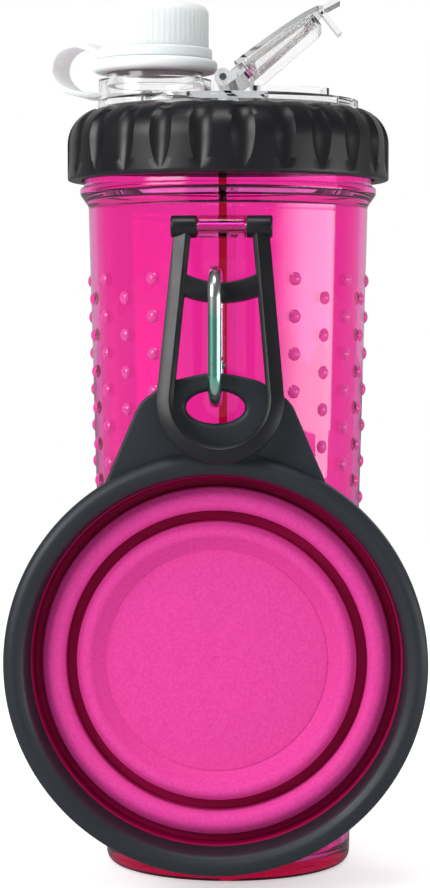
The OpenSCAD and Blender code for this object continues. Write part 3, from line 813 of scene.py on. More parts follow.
@dataclass(frozen=True)
class Softbox:
    """A soft light that faces the bottle and fades out towards its edges, as a cloth front does.

    The azimuth counts from the front to the right, in degrees, and the place and size are millimetres.
    fade gives the shares of the width over which it fades at its own left and right.
    """

    name: str
    azimuth: float
    distance: float
    height: float
    size: tuple[float, float]
    watts: float
    fade: tuple[float, float] = (0.25, 0.25)
    fade_up: float = 0.15
    aim_z: float = 120.0

    def build(self) -> None:
        """Places the light and turns it to the bottle."""
        data = bpy.data.lights.new(self.name, "AREA")
        data.shape = "RECTANGLE"
        data.size = self.size[0] * MM
        data.size_y = self.size[1] * MM
        data.energy = self.watts
        light = bpy.data.objects.new(self.name, data)
        a = math.radians(self.azimuth)
        place = Vector((math.sin(a) * self.distance, -math.cos(a) * self.distance, self.height)) * MM
        aim = Vector((0, 0, self.aim_z)) * MM
        light.location = place
        light.rotation_euler = (aim - place).to_track_quat("-Z", "Y").to_euler()
        bpy.context.scene.collection.objects.link(light)
        self.soften(data)

    def soften(self, data: bpy.types.AreaLight) -> None:
        """Lets the light fade out towards each of its four edges.

        Args:
            data: The light.
        """
        data.use_nodes = True
        tree = data.node_tree
        tree.nodes.clear()
        across = add_node(tree, "ShaderNodeNewGeometry").outputs["Parametric"]
        axes = add_node(tree, "ShaderNodeSeparateXYZ", {0: across})
        left, right = self.fade
        edges = [("X", 0.0, left), ("X", 1.0, 1 - right)]
        edges += [("Y", 0.0, self.fade_up), ("Y", 1.0, 1 - self.fade_up)]
        strength = 1.0
        for axis, dark, bright in edges:
            step = add_node(
                tree,
                "ShaderNodeMapRange",
                {"Value": axes.outputs[axis], "From Min": dark, "From Max": bright},
                interpolation_type="SMOOTHSTEP",
            )
            product = add_node(
                tree, "ShaderNodeMath", {0: step.outputs["Result"], 1: strength}, operation="MULTIPLY"
            )
            strength = product.outputs[0]
        light = add_node(tree, "ShaderNodeEmission", {"Strength": strength})
        add_node(tree, "ShaderNodeOutputLight", {"Surface": light.outputs[0]})


@dataclass
class Studio:
    """A pale floor, a soft daylight studio and the camera.

    The levels are the room's brightness: background for what the camera sees, fill for matt surfaces,
    front and back for reflections, side and end for what is seen through the plastic.
    """

    lens: float = 105.16
    camera_place: tuple[float, float, float] = (27.4, -730.5, 148.6)
    camera_turn: float = 2.437
    camera_tilt: float = 2.43
    floor_r: float = 6000.0
    floor_near: float = 250.0
    floor_far: float = 1200.0
    floor_glow: float = 0.45
    floor_glow_unseen: float = 0.05
    paper: str = "#EFEFEF"
    paper_mirrored: str = "#8C8C8C"
    background: float = 1.0
    fill: float = 0.8
    front: float = 0.12
    back: float = 0.6
    back_from: float = 0.3
    side: float = 0.5
    end: float = 1.0
    side_span: tuple[float, float] = (0.1, 0.7)
    softboxes: tuple[Softbox, ...] = (
        Softbox("softbox_left", -48, 1100, 600, (900, 700), 12.5),
        Softbox("softbox_right", 68, 1100, 45, (1400, 420), 9.6, fade=(0.55, 0.06)),
        Softbox("softbox_top", -10, 500, 1250, (700, 500), 6.0),
    )

    def build(self) -> None:
        """Makes the camera first, then the floor, the world and the lights."""
        self.add_camera()
        self.add_floor()
        self.add_world()
        for softbox in self.softboxes:
            softbox.build()
        bpy.context.scene.view_settings.view_transform = "Standard"

    def add_camera(self) -> None:
        """Adds the camera at the photograph's place and angle."""
        data = bpy.data.cameras.new("camera")
        data.lens = self.lens
        data.clip_start = 0.05
        data.clip_end = 50.0
        camera = bpy.data.objects.new("camera", data)
        camera.location = Vector(self.camera_place) * MM
        camera.rotation_euler = (
            math.radians(90 - self.camera_tilt),
            0.0,
            math.radians(self.camera_turn),
        )
        bpy.context.scene.collection.objects.link(camera)
        bpy.context.scene.camera = camera

    def add_floor(self) -> None:
        """Adds the floor, a wide disc with a matt white finish."""
        rings = turned_rings([(share * self.floor_r, 0.0) for share in (0.0, 0.02, 0.2, 1.0)], 64)
        floor = skin("studio_floor", rings)
        material = bpy.data.materials.new("studio_paper_matt")
        material.use_nodes = True
        tree = material.node_tree
        tree.nodes.clear()
        rays = add_node(tree, "ShaderNodeLightPath")
        seen = add_node(
            tree,
            "ShaderNodeMath",
            {0: rays.outputs["Is Camera Ray"], 1: rays.outputs["Is Transmission Ray"]},
            operation="MAXIMUM",
        )
        tone = add_node(
            tree,
            "ShaderNodeMix",
            {0: rays.outputs["Is Glossy Ray"], 6: linear(self.paper), 7: linear(self.paper_mirrored)},
            data_type="RGBA",
        )
        paper = add_node(tree, "ShaderNodeBsdfDiffuse", {"Color": tone.outputs[2]})
        glow = add_node(
            tree,
            "ShaderNodeMapRange",
            {"Value": seen.outputs[0], "To Min": self.floor_glow_unseen, "To Max": self.floor_glow},
        )
        light = add_node(tree, "ShaderNodeEmission", {"Strength": glow.outputs["Result"]})
        near = add_node(tree, "ShaderNodeAddShader", {0: paper.outputs[0], 1: light.outputs[0]})
        room = add_node(tree, "ShaderNodeEmission", {"Strength": self.background})
        place = add_node(tree, "ShaderNodeTexCoord").outputs["Object"]
        away = add_node(tree, "ShaderNodeVectorMath", {0: place}, operation="LENGTH")
        far = add_node(
            tree,
            "ShaderNodeMapRange",
            {
                "Value": away.outputs["Value"],
                "From Min": self.floor_near * MM,
                "From Max": self.floor_far * MM,
            },
            interpolation_type="SMOOTHSTEP",
        )
        fade = add_node(
            tree, "ShaderNodeMath", {0: far.outputs["Result"], 1: seen.outputs[0]}, operation="MULTIPLY"
        )
        both = add_node(
            tree, "ShaderNodeMixShader", {0: fade.outputs[0], 1: near.outputs[0], 2: room.outputs[0]}
        )
        add_node(tree, "ShaderNodeOutputMaterial", {"Surface": both.outputs[0]})
        floor.data.materials.append(material)

    def add_world(self) -> None:
        """Adds the room's light: bright behind and above, dim in front, so that edges show."""
        world = bpy.data.worlds.new("studio_world")
        world.use_nodes = True
        bpy.context.scene.world = world
        tree = world.node_tree
        tree.nodes.clear()
        way = add_node(tree, "ShaderNodeTexCoord").outputs["Generated"]
        axes = add_node(tree, "ShaderNodeSeparateXYZ", {0: way})
        depth = add_node(
            tree,
            "ShaderNodeMapRange",
            {
                "Value": axes.outputs["Y"],
                "From Min": self.back_from,
                "To Min": self.front,
                "To Max": self.back,
            },
            interpolation_type="SMOOTHSTEP",
        )
        across = add_node(tree, "ShaderNodeMath", {0: axes.outputs["Y"]}, operation="ABSOLUTE")
        through = add_node(
            tree,
            "ShaderNodeMapRange",
            {
                "Value": across.outputs[0],
                "From Min": self.side_span[0],
                "From Max": self.side_span[1],
                "To Min": self.side,
                "To Max": self.end,
            },
            interpolation_type="SMOOTHSTEP",
        )
        rays = add_node(tree, "ShaderNodeLightPath")
        level = depth.outputs["Result"]
        kinds = (
            ("Is Transmission Ray", through.outputs["Result"]),
            ("Is Diffuse Ray", self.fill),
            ("Is Camera Ray", self.background),
        )
        for kind, own in kinds:
            level = add_node(tree, "ShaderNodeMix", {0: rays.outputs[kind], 2: level, 3: own}).outputs[0]
        light = add_node(tree, "ShaderNodeBackground", {"Color": linear("#FFFFFF"), "Strength": level})
        add_node(tree, "ShaderNodeOutputWorld", {"Surface": light.outputs[0]})


# The bottle


@dataclass
class Tumbler:
    """The see-through body with its divider, the hinge boss and the grip studs."""

    foot_r: float = 34.25
    hollow_r: float = 28.3
    hollow_h: float = 1.4
    top_r: float = 39.1
    taper_h: float = 182.0
    flare_z: tuple[float, float] = (184.0, 187.5)
    wall: float = 2.0
    flange_r: float = 41.5
    flange_z: float = 189.3
    neck_r: float = 40.5
    rim_z: float = 206.2
    floor_z: float = 4.0
    flare_inside: tuple[float, float] = (184.6, 186.6)
    spare: float = 3.0
    divider_t: float = 2.1
    pivot: tuple[float, float, float] = (0.0, -45.0, 176.9)
    boss_w: float = 12.7
    boss_r: float = 3.0
    bore_r: float = 1.13
    stud_r: float = 1.85
    stud_h: float = 0.9
    stud_root: float = 0.7
    stud_proud: float = 0.03
    stud_top_z: float = 163.4
    stud_pitch: float = 10.1
    stud_rows: int = 15
    stud_columns: int = 5
    stud_first: float = 30.0
    stud_step: float = 15.0
    segments: int = 192

    def wall_r(self, z: float) -> float:
        """Returns the outer radius of the tapered wall at a height."""
        return self.foot_r + (self.top_r - self.foot_r) * z / self.taper_h

    def outer(self) -> bpy.types.Object:
        """Returns the outer form, with its hollow foot, flange and neck."""
        corners = [
            (0.0, self.hollow_h, 0.0),
            (self.hollow_r - self.hollow_h / 2, self.hollow_h, 1.0),
            (self.hollow_r, 0.0, 0.7),
            (self.foot_r, 0.0, 5.0),
            (self.top_r, self.taper_h, 2.0),
            (self.top_r, self.flare_z[0], 2.5),
            (self.flange_r, self.flare_z[1], 1.2),
            (self.flange_r, self.flange_z, 0.7),
            (self.neck_r, self.flange_z, 0.3),
            (self.neck_r, self.rim_z, 0.5),
            (0.0, self.rim_z, 0.0),
        ]
        return turned("bottle_body_shell", rounded(corners, 6, closed=False), self.segments, looped=False)

    def room(self) -> bpy.types.Object:
        """Returns the room inside, split by the divider, as a cutting tool."""
        corners = [
            (0.0, self.floor_z, 0.0),
            (self.foot_r - self.wall + 0.1, self.floor_z, 3.0),
            (self.top_r - self.wall, self.flare_inside[0], 1.5),
            (self.neck_r - self.wall, self.flare_inside[1], 1.5),
            (self.neck_r - self.wall, self.rim_z + self.spare, 0.0),
            (0.0, self.rim_z + self.spare, 0.0),
        ]
        room = turned("room", rounded(corners, 6, closed=False), self.segments, looped=False)
        half, reach = self.divider_t / 2, self.flange_r * 1.5
        outline = [(-half, -reach), (half, -reach), (half, reach), (-half, reach)]
        slab = plate("slab", [(outline, 0.0)], self.rim_z * 2.2, Matrix.Identity(4), steps=1)
        return combine(room, slab, Operation.CUT)

    def boss(self) -> bpy.types.Object:
        """Returns the hinge boss between the handle's knuckles."""
        _, y, z = self.pivot
        root_y = -self.wall_r(z) + self.wall / 2
        r = self.boss_r
        outline = arc((y, z), r, 90, 270, 16) + [(root_y, z - r), (root_y, z + r)]
        along_x = Matrix(((0, 0, 1, 0), (1, 0, 0, 0), (0, 1, 0, 0), (0, 0, 0, 1)))
        return plate("boss", [(outline, 0.5)], self.boss_w, along_x)

    def studs(self) -> bpy.types.Object:
        """Returns every grip stud as one mesh of separate closed domes."""
        r, h = self.stud_r, self.stud_h
        ball = (r * r + h * h) / (2 * h)
        edge = math.degrees(math.acos(r / ball))
        profile = [(0.0, -self.stud_root), (r, -self.stud_root)] + arc((0.0, h - ball), ball, edge, 90, 8)
        lean = math.atan((self.top_r - self.foot_r) / self.taper_h)
        bm = bmesh.new()
        for side in (-1, 1):
            for column in range(self.stud_columns):
                angle = math.radians(-90 + side * (self.stud_first + self.stud_step * column))
                for row in range(self.stud_rows):
                    z = self.stud_top_z - self.stud_pitch * (row + (column % 2) / 2)
                    place = (
                        Matrix.Rotation(angle, 4, "Z")
                        @ Matrix.Translation((self.wall_r(z), 0, z))
                        @ Matrix.Rotation(math.pi / 2 + lean, 4, "Y")
                    )
                    add_rings(bm, turned_rings(profile, 24, place))
        return finish_mesh("studs", bm)

    def mark_studs(self, body: bpy.types.Object) -> None:
        """Gives the faces that stand proud of the wall the studs' own finish.

        Args:
            body: The whole moulding.
        """
        body.data.materials.append(STUD_COPOLYESTER.material())
        for face in body.data.polygons:
            middle = face.center / MM
            proud = math.hypot(middle.x, middle.y) - self.wall_r(middle.z)
            if proud > self.stud_proud and middle.z < self.stud_top_z + self.stud_pitch / 2:
                face.material_index = 1

    def build(self) -> None:
        """Builds the body as one moulding and dresses its pin."""
        body = combine(self.outer(), self.boss(), Operation.JOIN)
        body = combine(body, self.studs(), Operation.JOIN)
        body = combine(body, self.room(), Operation.CUT)
        across = Matrix.Translation(self.pivot) @ Matrix.Rotation(math.pi / 2, 4, "Y")
        body = bored(body, self.bore_r, self.boss_w, across)
        body.name = "tumbler"
        seat(body, Body.BOTTLE, TINTED_COPOLYESTER, Slot.PINK_BODY, "bottle_body", "grip_studs")
        self.mark_studs(body)
        dress_node("handle_pin", DRAWN_STEEL)


@dataclass
class ScrewCollar:
    """The black screw collar with its scooped flutes."""

    bore_r: float = 41.1
    outer_r: float = 45.0
    foot_z: float = 191.3
    top_z: float = 211.4
    shoulder_r: float = 10.0
    open_r: float = 38.2
    open_round: float = 0.7
    foot_round: float = 0.6
    bore_chamfer: float = 0.3
    lip_t: float = 2.1
    flutes: int = 25
    flute_half: float = 3.2
    flute_top_half: float = 2.3
    flute_depth: float = 1.35
    flute_top_depth: float = 0.3
    flute_foot_z: float = 192.6
    flute_point: float = 0.65
    flute_least: float = 0.02
    widest_z: float = 203.0
    wall_rows: int = 12
    shoulder_rows: int = 14
    across: int = 12
    land: int = 3

    def flute_at(self, z: float, run: float) -> tuple[float, float]:
        """Gives a flute's half width and depth.

        Args:
            z: Height on the outer face.
            run: Share of the way from the widest place over the shoulder to the opening, from 0 to 1.

        Returns:
            The half width and the depth.
        """
        if run > 0:
            ease = run * run * (3 - 2 * run)
            half = self.flute_half + (self.flute_top_half - self.flute_half) * ease
            return half, self.flute_depth + (self.flute_top_depth - self.flute_depth) * ease
        t = max(0.0, (z - self.flute_foot_z) / (self.widest_z - self.flute_foot_z))
        rise = 1 - (1 - min(t, 1.0)) ** 2
        return max(self.flute_half * rise**self.flute_point, self.flute_least), self.flute_depth * rise

    def outer_profile(self) -> list[tuple[float, float, float, float]]:
        """Lists the outer face from the foot up: radius, height, and the way that it faces."""
        r, z0 = self.outer_r, self.foot_z
        cz = self.top_z - self.shoulder_r
        cr = r - self.shoulder_r
        last = math.acos((self.open_r + self.open_round - cr) / self.shoulder_r)
        e, soft = self.foot_round, self.foot_round * 0.3
        rows = [(r - e, z0, 0.0, -1.0), (r - soft, z0 + soft, 0.7, -0.7), (r, z0 + e, 1.0, 0.0)]
        low, count = self.flute_foot_z, self.wall_rows
        rows += [(r, low + (cz - low) * i / count, 1.0, 0.0) for i in range(count + 1)]
        for i in range(1, self.shoulder_rows + 1):
            a = last * i / self.shoulder_rows
            c, s = math.cos(a), math.sin(a)
            rows.append((cr + self.shoulder_r * c, cz + self.shoulder_r * s, c, s))
        return rows

    def build(self) -> None:
        """Builds the collar from rings whose points follow the flutes' edges."""
        pitch = 2 * math.pi / self.flutes
        rows = self.outer_profile()
        top = rows[-1]
        start = next(i for i, row in enumerate(rows) if row[1] >= self.widest_z)
        rings: list[Ring] = []
        for i, (r, z, nr, nz) in enumerate(rows):
            run = max(0.0, (i - start) / (len(rows) - 1 - start))
            half, depth = self.flute_at(z, run)
            if z < self.flute_foot_z:
                half, depth = self.flute_least, 0.0
            rings.append(self.ring(pitch, r, z, nr, nz, half, depth))
        low_z = self.top_z - self.lip_t
        plain = [
            (self.open_r, top[1] - self.open_round - 0.1),
            (self.open_r, low_z),
            (self.bore_r, low_z),
            (self.bore_r, self.foot_z + self.bore_chamfer),
            (self.bore_r + self.bore_chamfer, self.foot_z),
        ]
        for r, z in plain:
            rings.append(self.ring(pitch, r, z, 1.0, 0.0, self.flute_top_half, 0.0))
        collar = skin("screw_collar", rings, looped=True)
        seat(collar, Body.COLLAR, BLACK_POLYPROPYLENE, Slot.BLACK, "collar")

    def ring(
        self, pitch: float, r: float, z: float, nr: float, nz: float, half: float, depth: float
    ) -> Ring:
        """Makes one ring, with its points drawn to the edges of the flutes.

        Args:
            pitch: Angle from one flute to the next.
            r: Radius of the plain face.
            z: Height of the plain face.
            nr: How much the face looks outward.
            nz: How much the face looks upward.
            half: Half width of the flutes here.
            depth: Depth of the flutes here.

        Returns:
            The ring's points.
        """
        shares = [-1 + 2 * i / self.across for i in range(self.across + 1)]
        edge = half / r
        points: Ring = []
        for k in range(self.flutes):
            middle = -math.pi / 2 + (k + 0.5) * pitch
            places = [(middle + s * edge, depth * (1 - s * s)) for s in shares]
            gap = pitch - 2 * edge
            places += [(middle + edge + gap * j / (self.land + 1), 0.0) for j in range(1, self.land + 1)]
            for a, cut in places:
                rr = r - cut * nr
                points.append(Vector((rr * math.cos(a), rr * math.sin(a), z - cut * nz)))
        return points


@dataclass
class SpoutCap:
    """The frosted screw cap with its knurled wall and its lower flange."""

    axis: tuple[float, float] = (-20.5, 0.0)
    bore_r: float = 13.4
    flange_r: float = 17.5
    foot_z: float = 221.6
    groove_z: float = 225.1
    groove_r: float = 14.1
    body_z: float = 228.4
    body_r: float = 15.0
    top_z: float = 240.3
    roof_z: float = 238.2
    edge_r: float = 2.0
    dish: float = 0.1
    ribs: int = 60
    rib_h: float = 0.15
    rib_clear: tuple[float, float] = (0.8, 2.4)
    per_rib: int = 6

    def build(self) -> None:
        """Builds the cap from rings whose radius rises at each rib."""
        corners = [
            (self.bore_r, self.foot_z, 0.2),
            (self.flange_r, self.foot_z, 1.3),
            (self.flange_r, self.groove_z, 1.3),
            (self.groove_r, self.groove_z, 0.2),
            (self.groove_r, self.body_z, 0.2),
            (self.body_r - 0.1, self.body_z, 0.4),
        ]
        profile = rounded(corners, 5, closed=False)
        wall_r, e = self.body_r - 0.1, self.edge_r
        low, high = self.body_z + self.rib_clear[0], self.top_z - self.rib_clear[1]
        profile += [(wall_r, low + (high - low) * i / 6) for i in range(7)]
        profile += arc((wall_r - e, self.top_z - e), e, 0, 90, 8)
        profile += [(self.body_r / 2, self.top_z - self.dish / 2), (0.0, self.top_z - self.dish)]
        profile += [(0.0, self.roof_z), (self.bore_r, self.roof_z)]
        count = self.ribs * self.per_rib
        rings: list[Ring] = []
        for r, z in profile:
            on_wall = r > self.body_r - 0.5 and low - 0.1 <= z <= high + 0.6
            ring: Ring = []
            for i in range(count):
                a = 2 * math.pi * i / count
                lift = self.rib_h * max(0.0, math.cos(a * self.ribs)) ** 1.5 if on_wall else 0.0
                rr = r + lift
                ring.append(Vector((self.axis[0] + rr * math.cos(a), self.axis[1] + rr * math.sin(a), z)))
            rings.append(ring)
        cap = skin("spout_cap_knurled", rings, looped=True)
        seat(cap, Body.CAP, FROSTED_POLYPROPYLENE, Slot.FROSTED, "spout_cap")
        dress_node("cap_liner", SEAL_SILICONE)


@dataclass
class CapTether:
    """The frosted strap that keeps the cap on the bottle: a ring, a looped strap and an eyelet."""

    axis: tuple[float, float] = (-20.5, 0.0)
    ring_inner_r: float = 14.3
    ring_outer_r: float = 16.0
    ring_z: float = 225.2
    ring_h: float = 3.1
    strap_w: float = 8.5
    strap_t: float = 1.6
    strap_turn: float = 147.0
    anchor: tuple[float, float] = (-24.5, 20.5)
    eyelet_r: float = 4.25
    eyelet_hole_r: float = 1.65
    eyelet_z: float = 216.0
    eyelet_turn: float = 187.0
    eyelet_reach: float = 5.75
    sunk: float = 0.6
    turn_from: float = 0.66
    turn_over: float = 0.2
    steps: int = 10

    def route(self) -> list[Vector]:
        """Returns the strap's smooth route, from the ring out and round to the eyelet."""
        x, y = self.axis
        turn = math.radians(self.strap_turn)
        far = math.radians(self.eyelet_turn)
        high = Vector((x, y, self.ring_z + self.ring_h / 2))
        low = Vector((x, y, self.eyelet_z + self.strap_t / 2))
        root = high + Vector((math.cos(turn), math.sin(turn), 0)) * (self.ring_outer_r - self.sunk)
        reach = self.eyelet_reach - self.sunk
        end = Vector((self.anchor[0] + reach * math.cos(far), self.anchor[1] + reach * math.sin(far), low.z))
        outward = [(-17, 11, 2.4), (-21.5, 13.9, 4.2), (-25.8, 16.7, 3.2), (-28.5, 18.4, 0)]
        back = [(-28.7, 18.7, 5.8), (-26.1, 17.8, 2.2), (-21.5, 18, 0.4), (-16, 19, 0)]
        points = [root] + [high + Vector(p) for p in outward] + [low + Vector(p) for p in back] + [end]
        result: list[Vector] = []
        last = len(points) - 1
        for i in range(last):
            a, b = points[max(i - 1, 0)], points[i]
            c, d = points[i + 1], points[min(i + 2, last)]
            for k in range(self.steps):
                t = k / self.steps
                bend = (2 * a - 5 * b + 4 * c - d) * t**2 + (3 * b - a - 3 * c + d) * t**3
                result.append(0.5 * (2 * b + (c - a) * t + bend))
        return result + [points[-1]]

    def stations(self) -> list[tuple[Vector, Vector, Vector]]:
        """Returns the strap's stations: its width stays level and turns square to its run at the end."""
        path = self.route()
        turn = math.radians(self.strap_turn)
        level = Vector((-math.sin(turn), math.cos(turn), 0))
        last = len(path) - 1
        result = []
        for i, point in enumerate(path):
            run = (path[min(i + 1, last)] - path[max(i - 1, 0)]).normalized()
            share = min(max((i / last - self.turn_from) / self.turn_over, 0.0), 1.0)
            square = Vector((run.y, -run.x, 0))
            side = (level * (1 - share) + square * share).normalized()
            up = side.cross(run).normalized()
            result.append((point, side, up))
        return result

    def build(self) -> None:
        """Builds the ring, and the strap with its eyelet as one bending piece."""
        z0, z1 = self.ring_z, self.ring_z + self.ring_h
        corners = [
            (self.ring_inner_r, z0, 0.25),
            (self.ring_outer_r, z0, 0.7),
            (self.ring_outer_r, z1, 0.7),
            (self.ring_inner_r, z1, 0.25),
        ]
        place = Matrix.Translation((*self.axis, 0))
        ring = turned("tether_ring_moulded", rounded(corners, 5), 96, place)
        seat(ring, Body.TETHER_RING, FROSTED_POLYPROPYLENE, Slot.FROSTED, "tether_ring")
        w, t = self.strap_w / 2, self.strap_t / 2
        section = rounded([(-w, -t, 0.6), (w, -t, 0.6), (w, t, 0.6), (-w, t, 0.6)], 4)
        strap = swept("strap", section, self.stations())
        eyelet = self.eyelet()
        tether = combine(strap, eyelet, Operation.JOIN)
        tether.name = "tether_strap_moulded"
        dress(tether, FROSTED_POLYPROPYLENE)
        high = Vector((*self.axis, z0 + self.ring_h / 2)) * MM
        low = Vector((*self.axis, self.eyelet_z + self.strap_t)) * MM
        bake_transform(tether, Body.TETHER_RING.value, Body.LID.value, start=high, end=low)
        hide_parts("tether_strap", "tether_eyelet")
        log.info("%s: bends between the ring and the lid", tether.name)

    def eyelet(self) -> bpy.types.Object:
        """Returns the eyelet, a flat disc with a tongue and a hole for the stud."""
        r, reach, half = self.eyelet_r, self.eyelet_reach, self.strap_w / 2 - 0.15
        outline = arc((0, 0), r, -88, 88, 32) + [(-1.0, r), (-reach, half), (-reach, -half), (-1.0, -r)]
        hole = list(reversed(arc((0, 0), self.eyelet_hole_r, 0, 345, 23)))
        place = Matrix.Translation((*self.anchor, self.eyelet_z + self.strap_t / 2)) @ Matrix.Rotation(
            math.radians(self.eyelet_turn - 180), 4, "Z"
        )
        return plate("eyelet", [(outline, 0.4), (hole, 0.2)], self.strap_t - 0.02, place)


@dataclass
class LidInsert:
    """The clear lid moulding with its gasket, the food hatch, its pin and its seal."""

    def build(self) -> None:
        """Dresses the lid, whose CAD shapes stay."""
        for name in ("lid_plate", "food_hatch"):
            dress_node(name, CLEAR_POLYCARBONATE)
        for name in ("lid_gasket", "hatch_seal"):
            dress_node(name, SEAL_SILICONE)
        dress_node("hatch_pin", DRAWN_STEEL)


@dataclass
class CarryHandle:
    """The black U-shaped handle with its two knuckles and its curved crossbar."""

    pivot: tuple[float, float, float] = (0.0, -45.0, 176.9)
    lean: float = 12.0
    length: float = 46.7
    bend_r: float = 14.4
    arm_top_x: float = 10.2
    bar_w: float = 4.6
    bar_t: float = 4.0
    arm_overlap: float = 0.6
    bevel: float = 0.9
    fall: float = 1.5
    ridge: float = 1.2
    edge_r: float = 0.25
    knuckle_r: float = 3.0
    knuckle_l: float = 6.9
    knuckle_x: float = 6.55
    pin_r: float = 1.16
    pin_room: float = 12.1
    crossbar_drop: float = 15.2
    crossbar_h: float = 5.4
    crossbar_t: float = 3.0
    crossbar_sag: tuple[float, float] = (3.0, 2.1)
    crossbar_half: float = 10.6

    def place(self) -> Matrix:
        """Returns the place of the handle's own plane, leaned out about its pivot."""
        return Matrix.Translation(self.pivot) @ Matrix.Rotation(math.radians(-self.lean), 4, "X")

    def bar(self) -> bpy.types.Object:
        """Returns the bent bar, whose front falls away from a ridge near its inner edge."""
        a = math.degrees(math.asin((self.bend_r - self.arm_top_x) / self.length))
        turns = [math.radians(180 - a + (180 + 2 * a) * i / 48) for i in range(49)]
        sides = [Vector((math.cos(t), 0, math.sin(t))) for t in turns]
        points = [Vector((self.bend_r * s.x, 0, self.bend_r * s.z - self.length)) for s in sides]
        tops = [Vector((x, 0, self.arm_overlap)) for x in (-self.arm_top_x, self.arm_top_x)]
        points = [tops[0]] + points + [tops[1]]
        sides = [sides[0]] + sides + [sides[-1]]
        place = self.place()
        turn = place.to_3x3()
        w, t, b = self.bar_w / 2, self.bar_t / 2, self.bevel
        corners = [(-w, -t + b), (-w + b, -t), (w - b, -t), (w, -t + b)]
        corners += [(w, t - self.fall), (-w + self.ridge, t), (-w, t - b)]
        section = rounded([(x, y, self.edge_r) for x, y in corners], 2)
        up = turn @ Vector((0, -1, 0))
        return swept("bar", section, [(place @ p, turn @ s, up) for p, s in zip(points, sides)])

    def knuckle(self, side: int) -> bpy.types.Object:
        """Makes one knuckle.

        Args:
            side: -1 for the left one, 1 for the right one.

        Returns:
            The knuckle, a short barrel with rounded ends.
        """
        r, x0 = self.knuckle_r, self.knuckle_x
        x1 = x0 + self.knuckle_l
        profile = rounded([(0, x0, 0), (r, x0, 0.35), (r, x1, 0.6), (0, x1, 0)], 4, closed=False)
        along = Matrix.Rotation(math.pi / 2 * side, 4, "Y")
        return turned("knuckle", profile, 64, self.place() @ along, looped=False)

    def crossbar(self) -> bpy.types.Object:
        """Returns the crossbar, whose two edges curve down in the middle."""
        w, (high, low) = self.crossbar_half, self.crossbar_sag
        top_r = (w * w + high * high) / (2 * high)
        low_r = (w * w + low * low) / (2 * low)
        ta, la = math.degrees(math.asin(w / top_r)), math.degrees(math.asin(w / low_r))
        upper = arc((0, -self.crossbar_drop + top_r), top_r, 270 + ta, 270 - ta, 24)
        lower = arc((0, -self.crossbar_drop - self.crossbar_h + low_r), low_r, 270 - la, 270 + la, 24)
        upright = self.place() @ Matrix.Rotation(math.pi / 2, 4, "X")
        return plate("crossbar", [(lower + upper, 0.5)], self.crossbar_t, upright)

    def build(self) -> None:
        """Joins the bar, the knuckles and the crossbar into one moulding with a pin bore."""
        handle = self.bar()
        for side in (-1, 1):
            handle = combine(handle, self.knuckle(side), Operation.JOIN)
        handle = combine(handle, self.crossbar(), Operation.JOIN)
        across = self.place() @ Matrix.Rotation(math.pi / 2, 4, "Y")
        handle = bored(handle, self.pin_r, self.pin_room, across)
        handle.name = "carry_handle_moulded"
        seat(handle, Body.HANDLE, BLACK_POLYPROPYLENE, Slot.BLACK, "carry_handle")


@dataclass
class Carabiner:
    """The small wire carabiner with its gate, rivet and spring."""

    def build(self) -> None:
        """Dresses the carabiner, whose CAD shapes stay."""
        dress_node("carabiner", ANODISED_ALUMINIUM)
        for name in ("carabiner_gate", "gate_rivet", "gate_spring"):
            dress_node(name, DRAWN_STEEL)


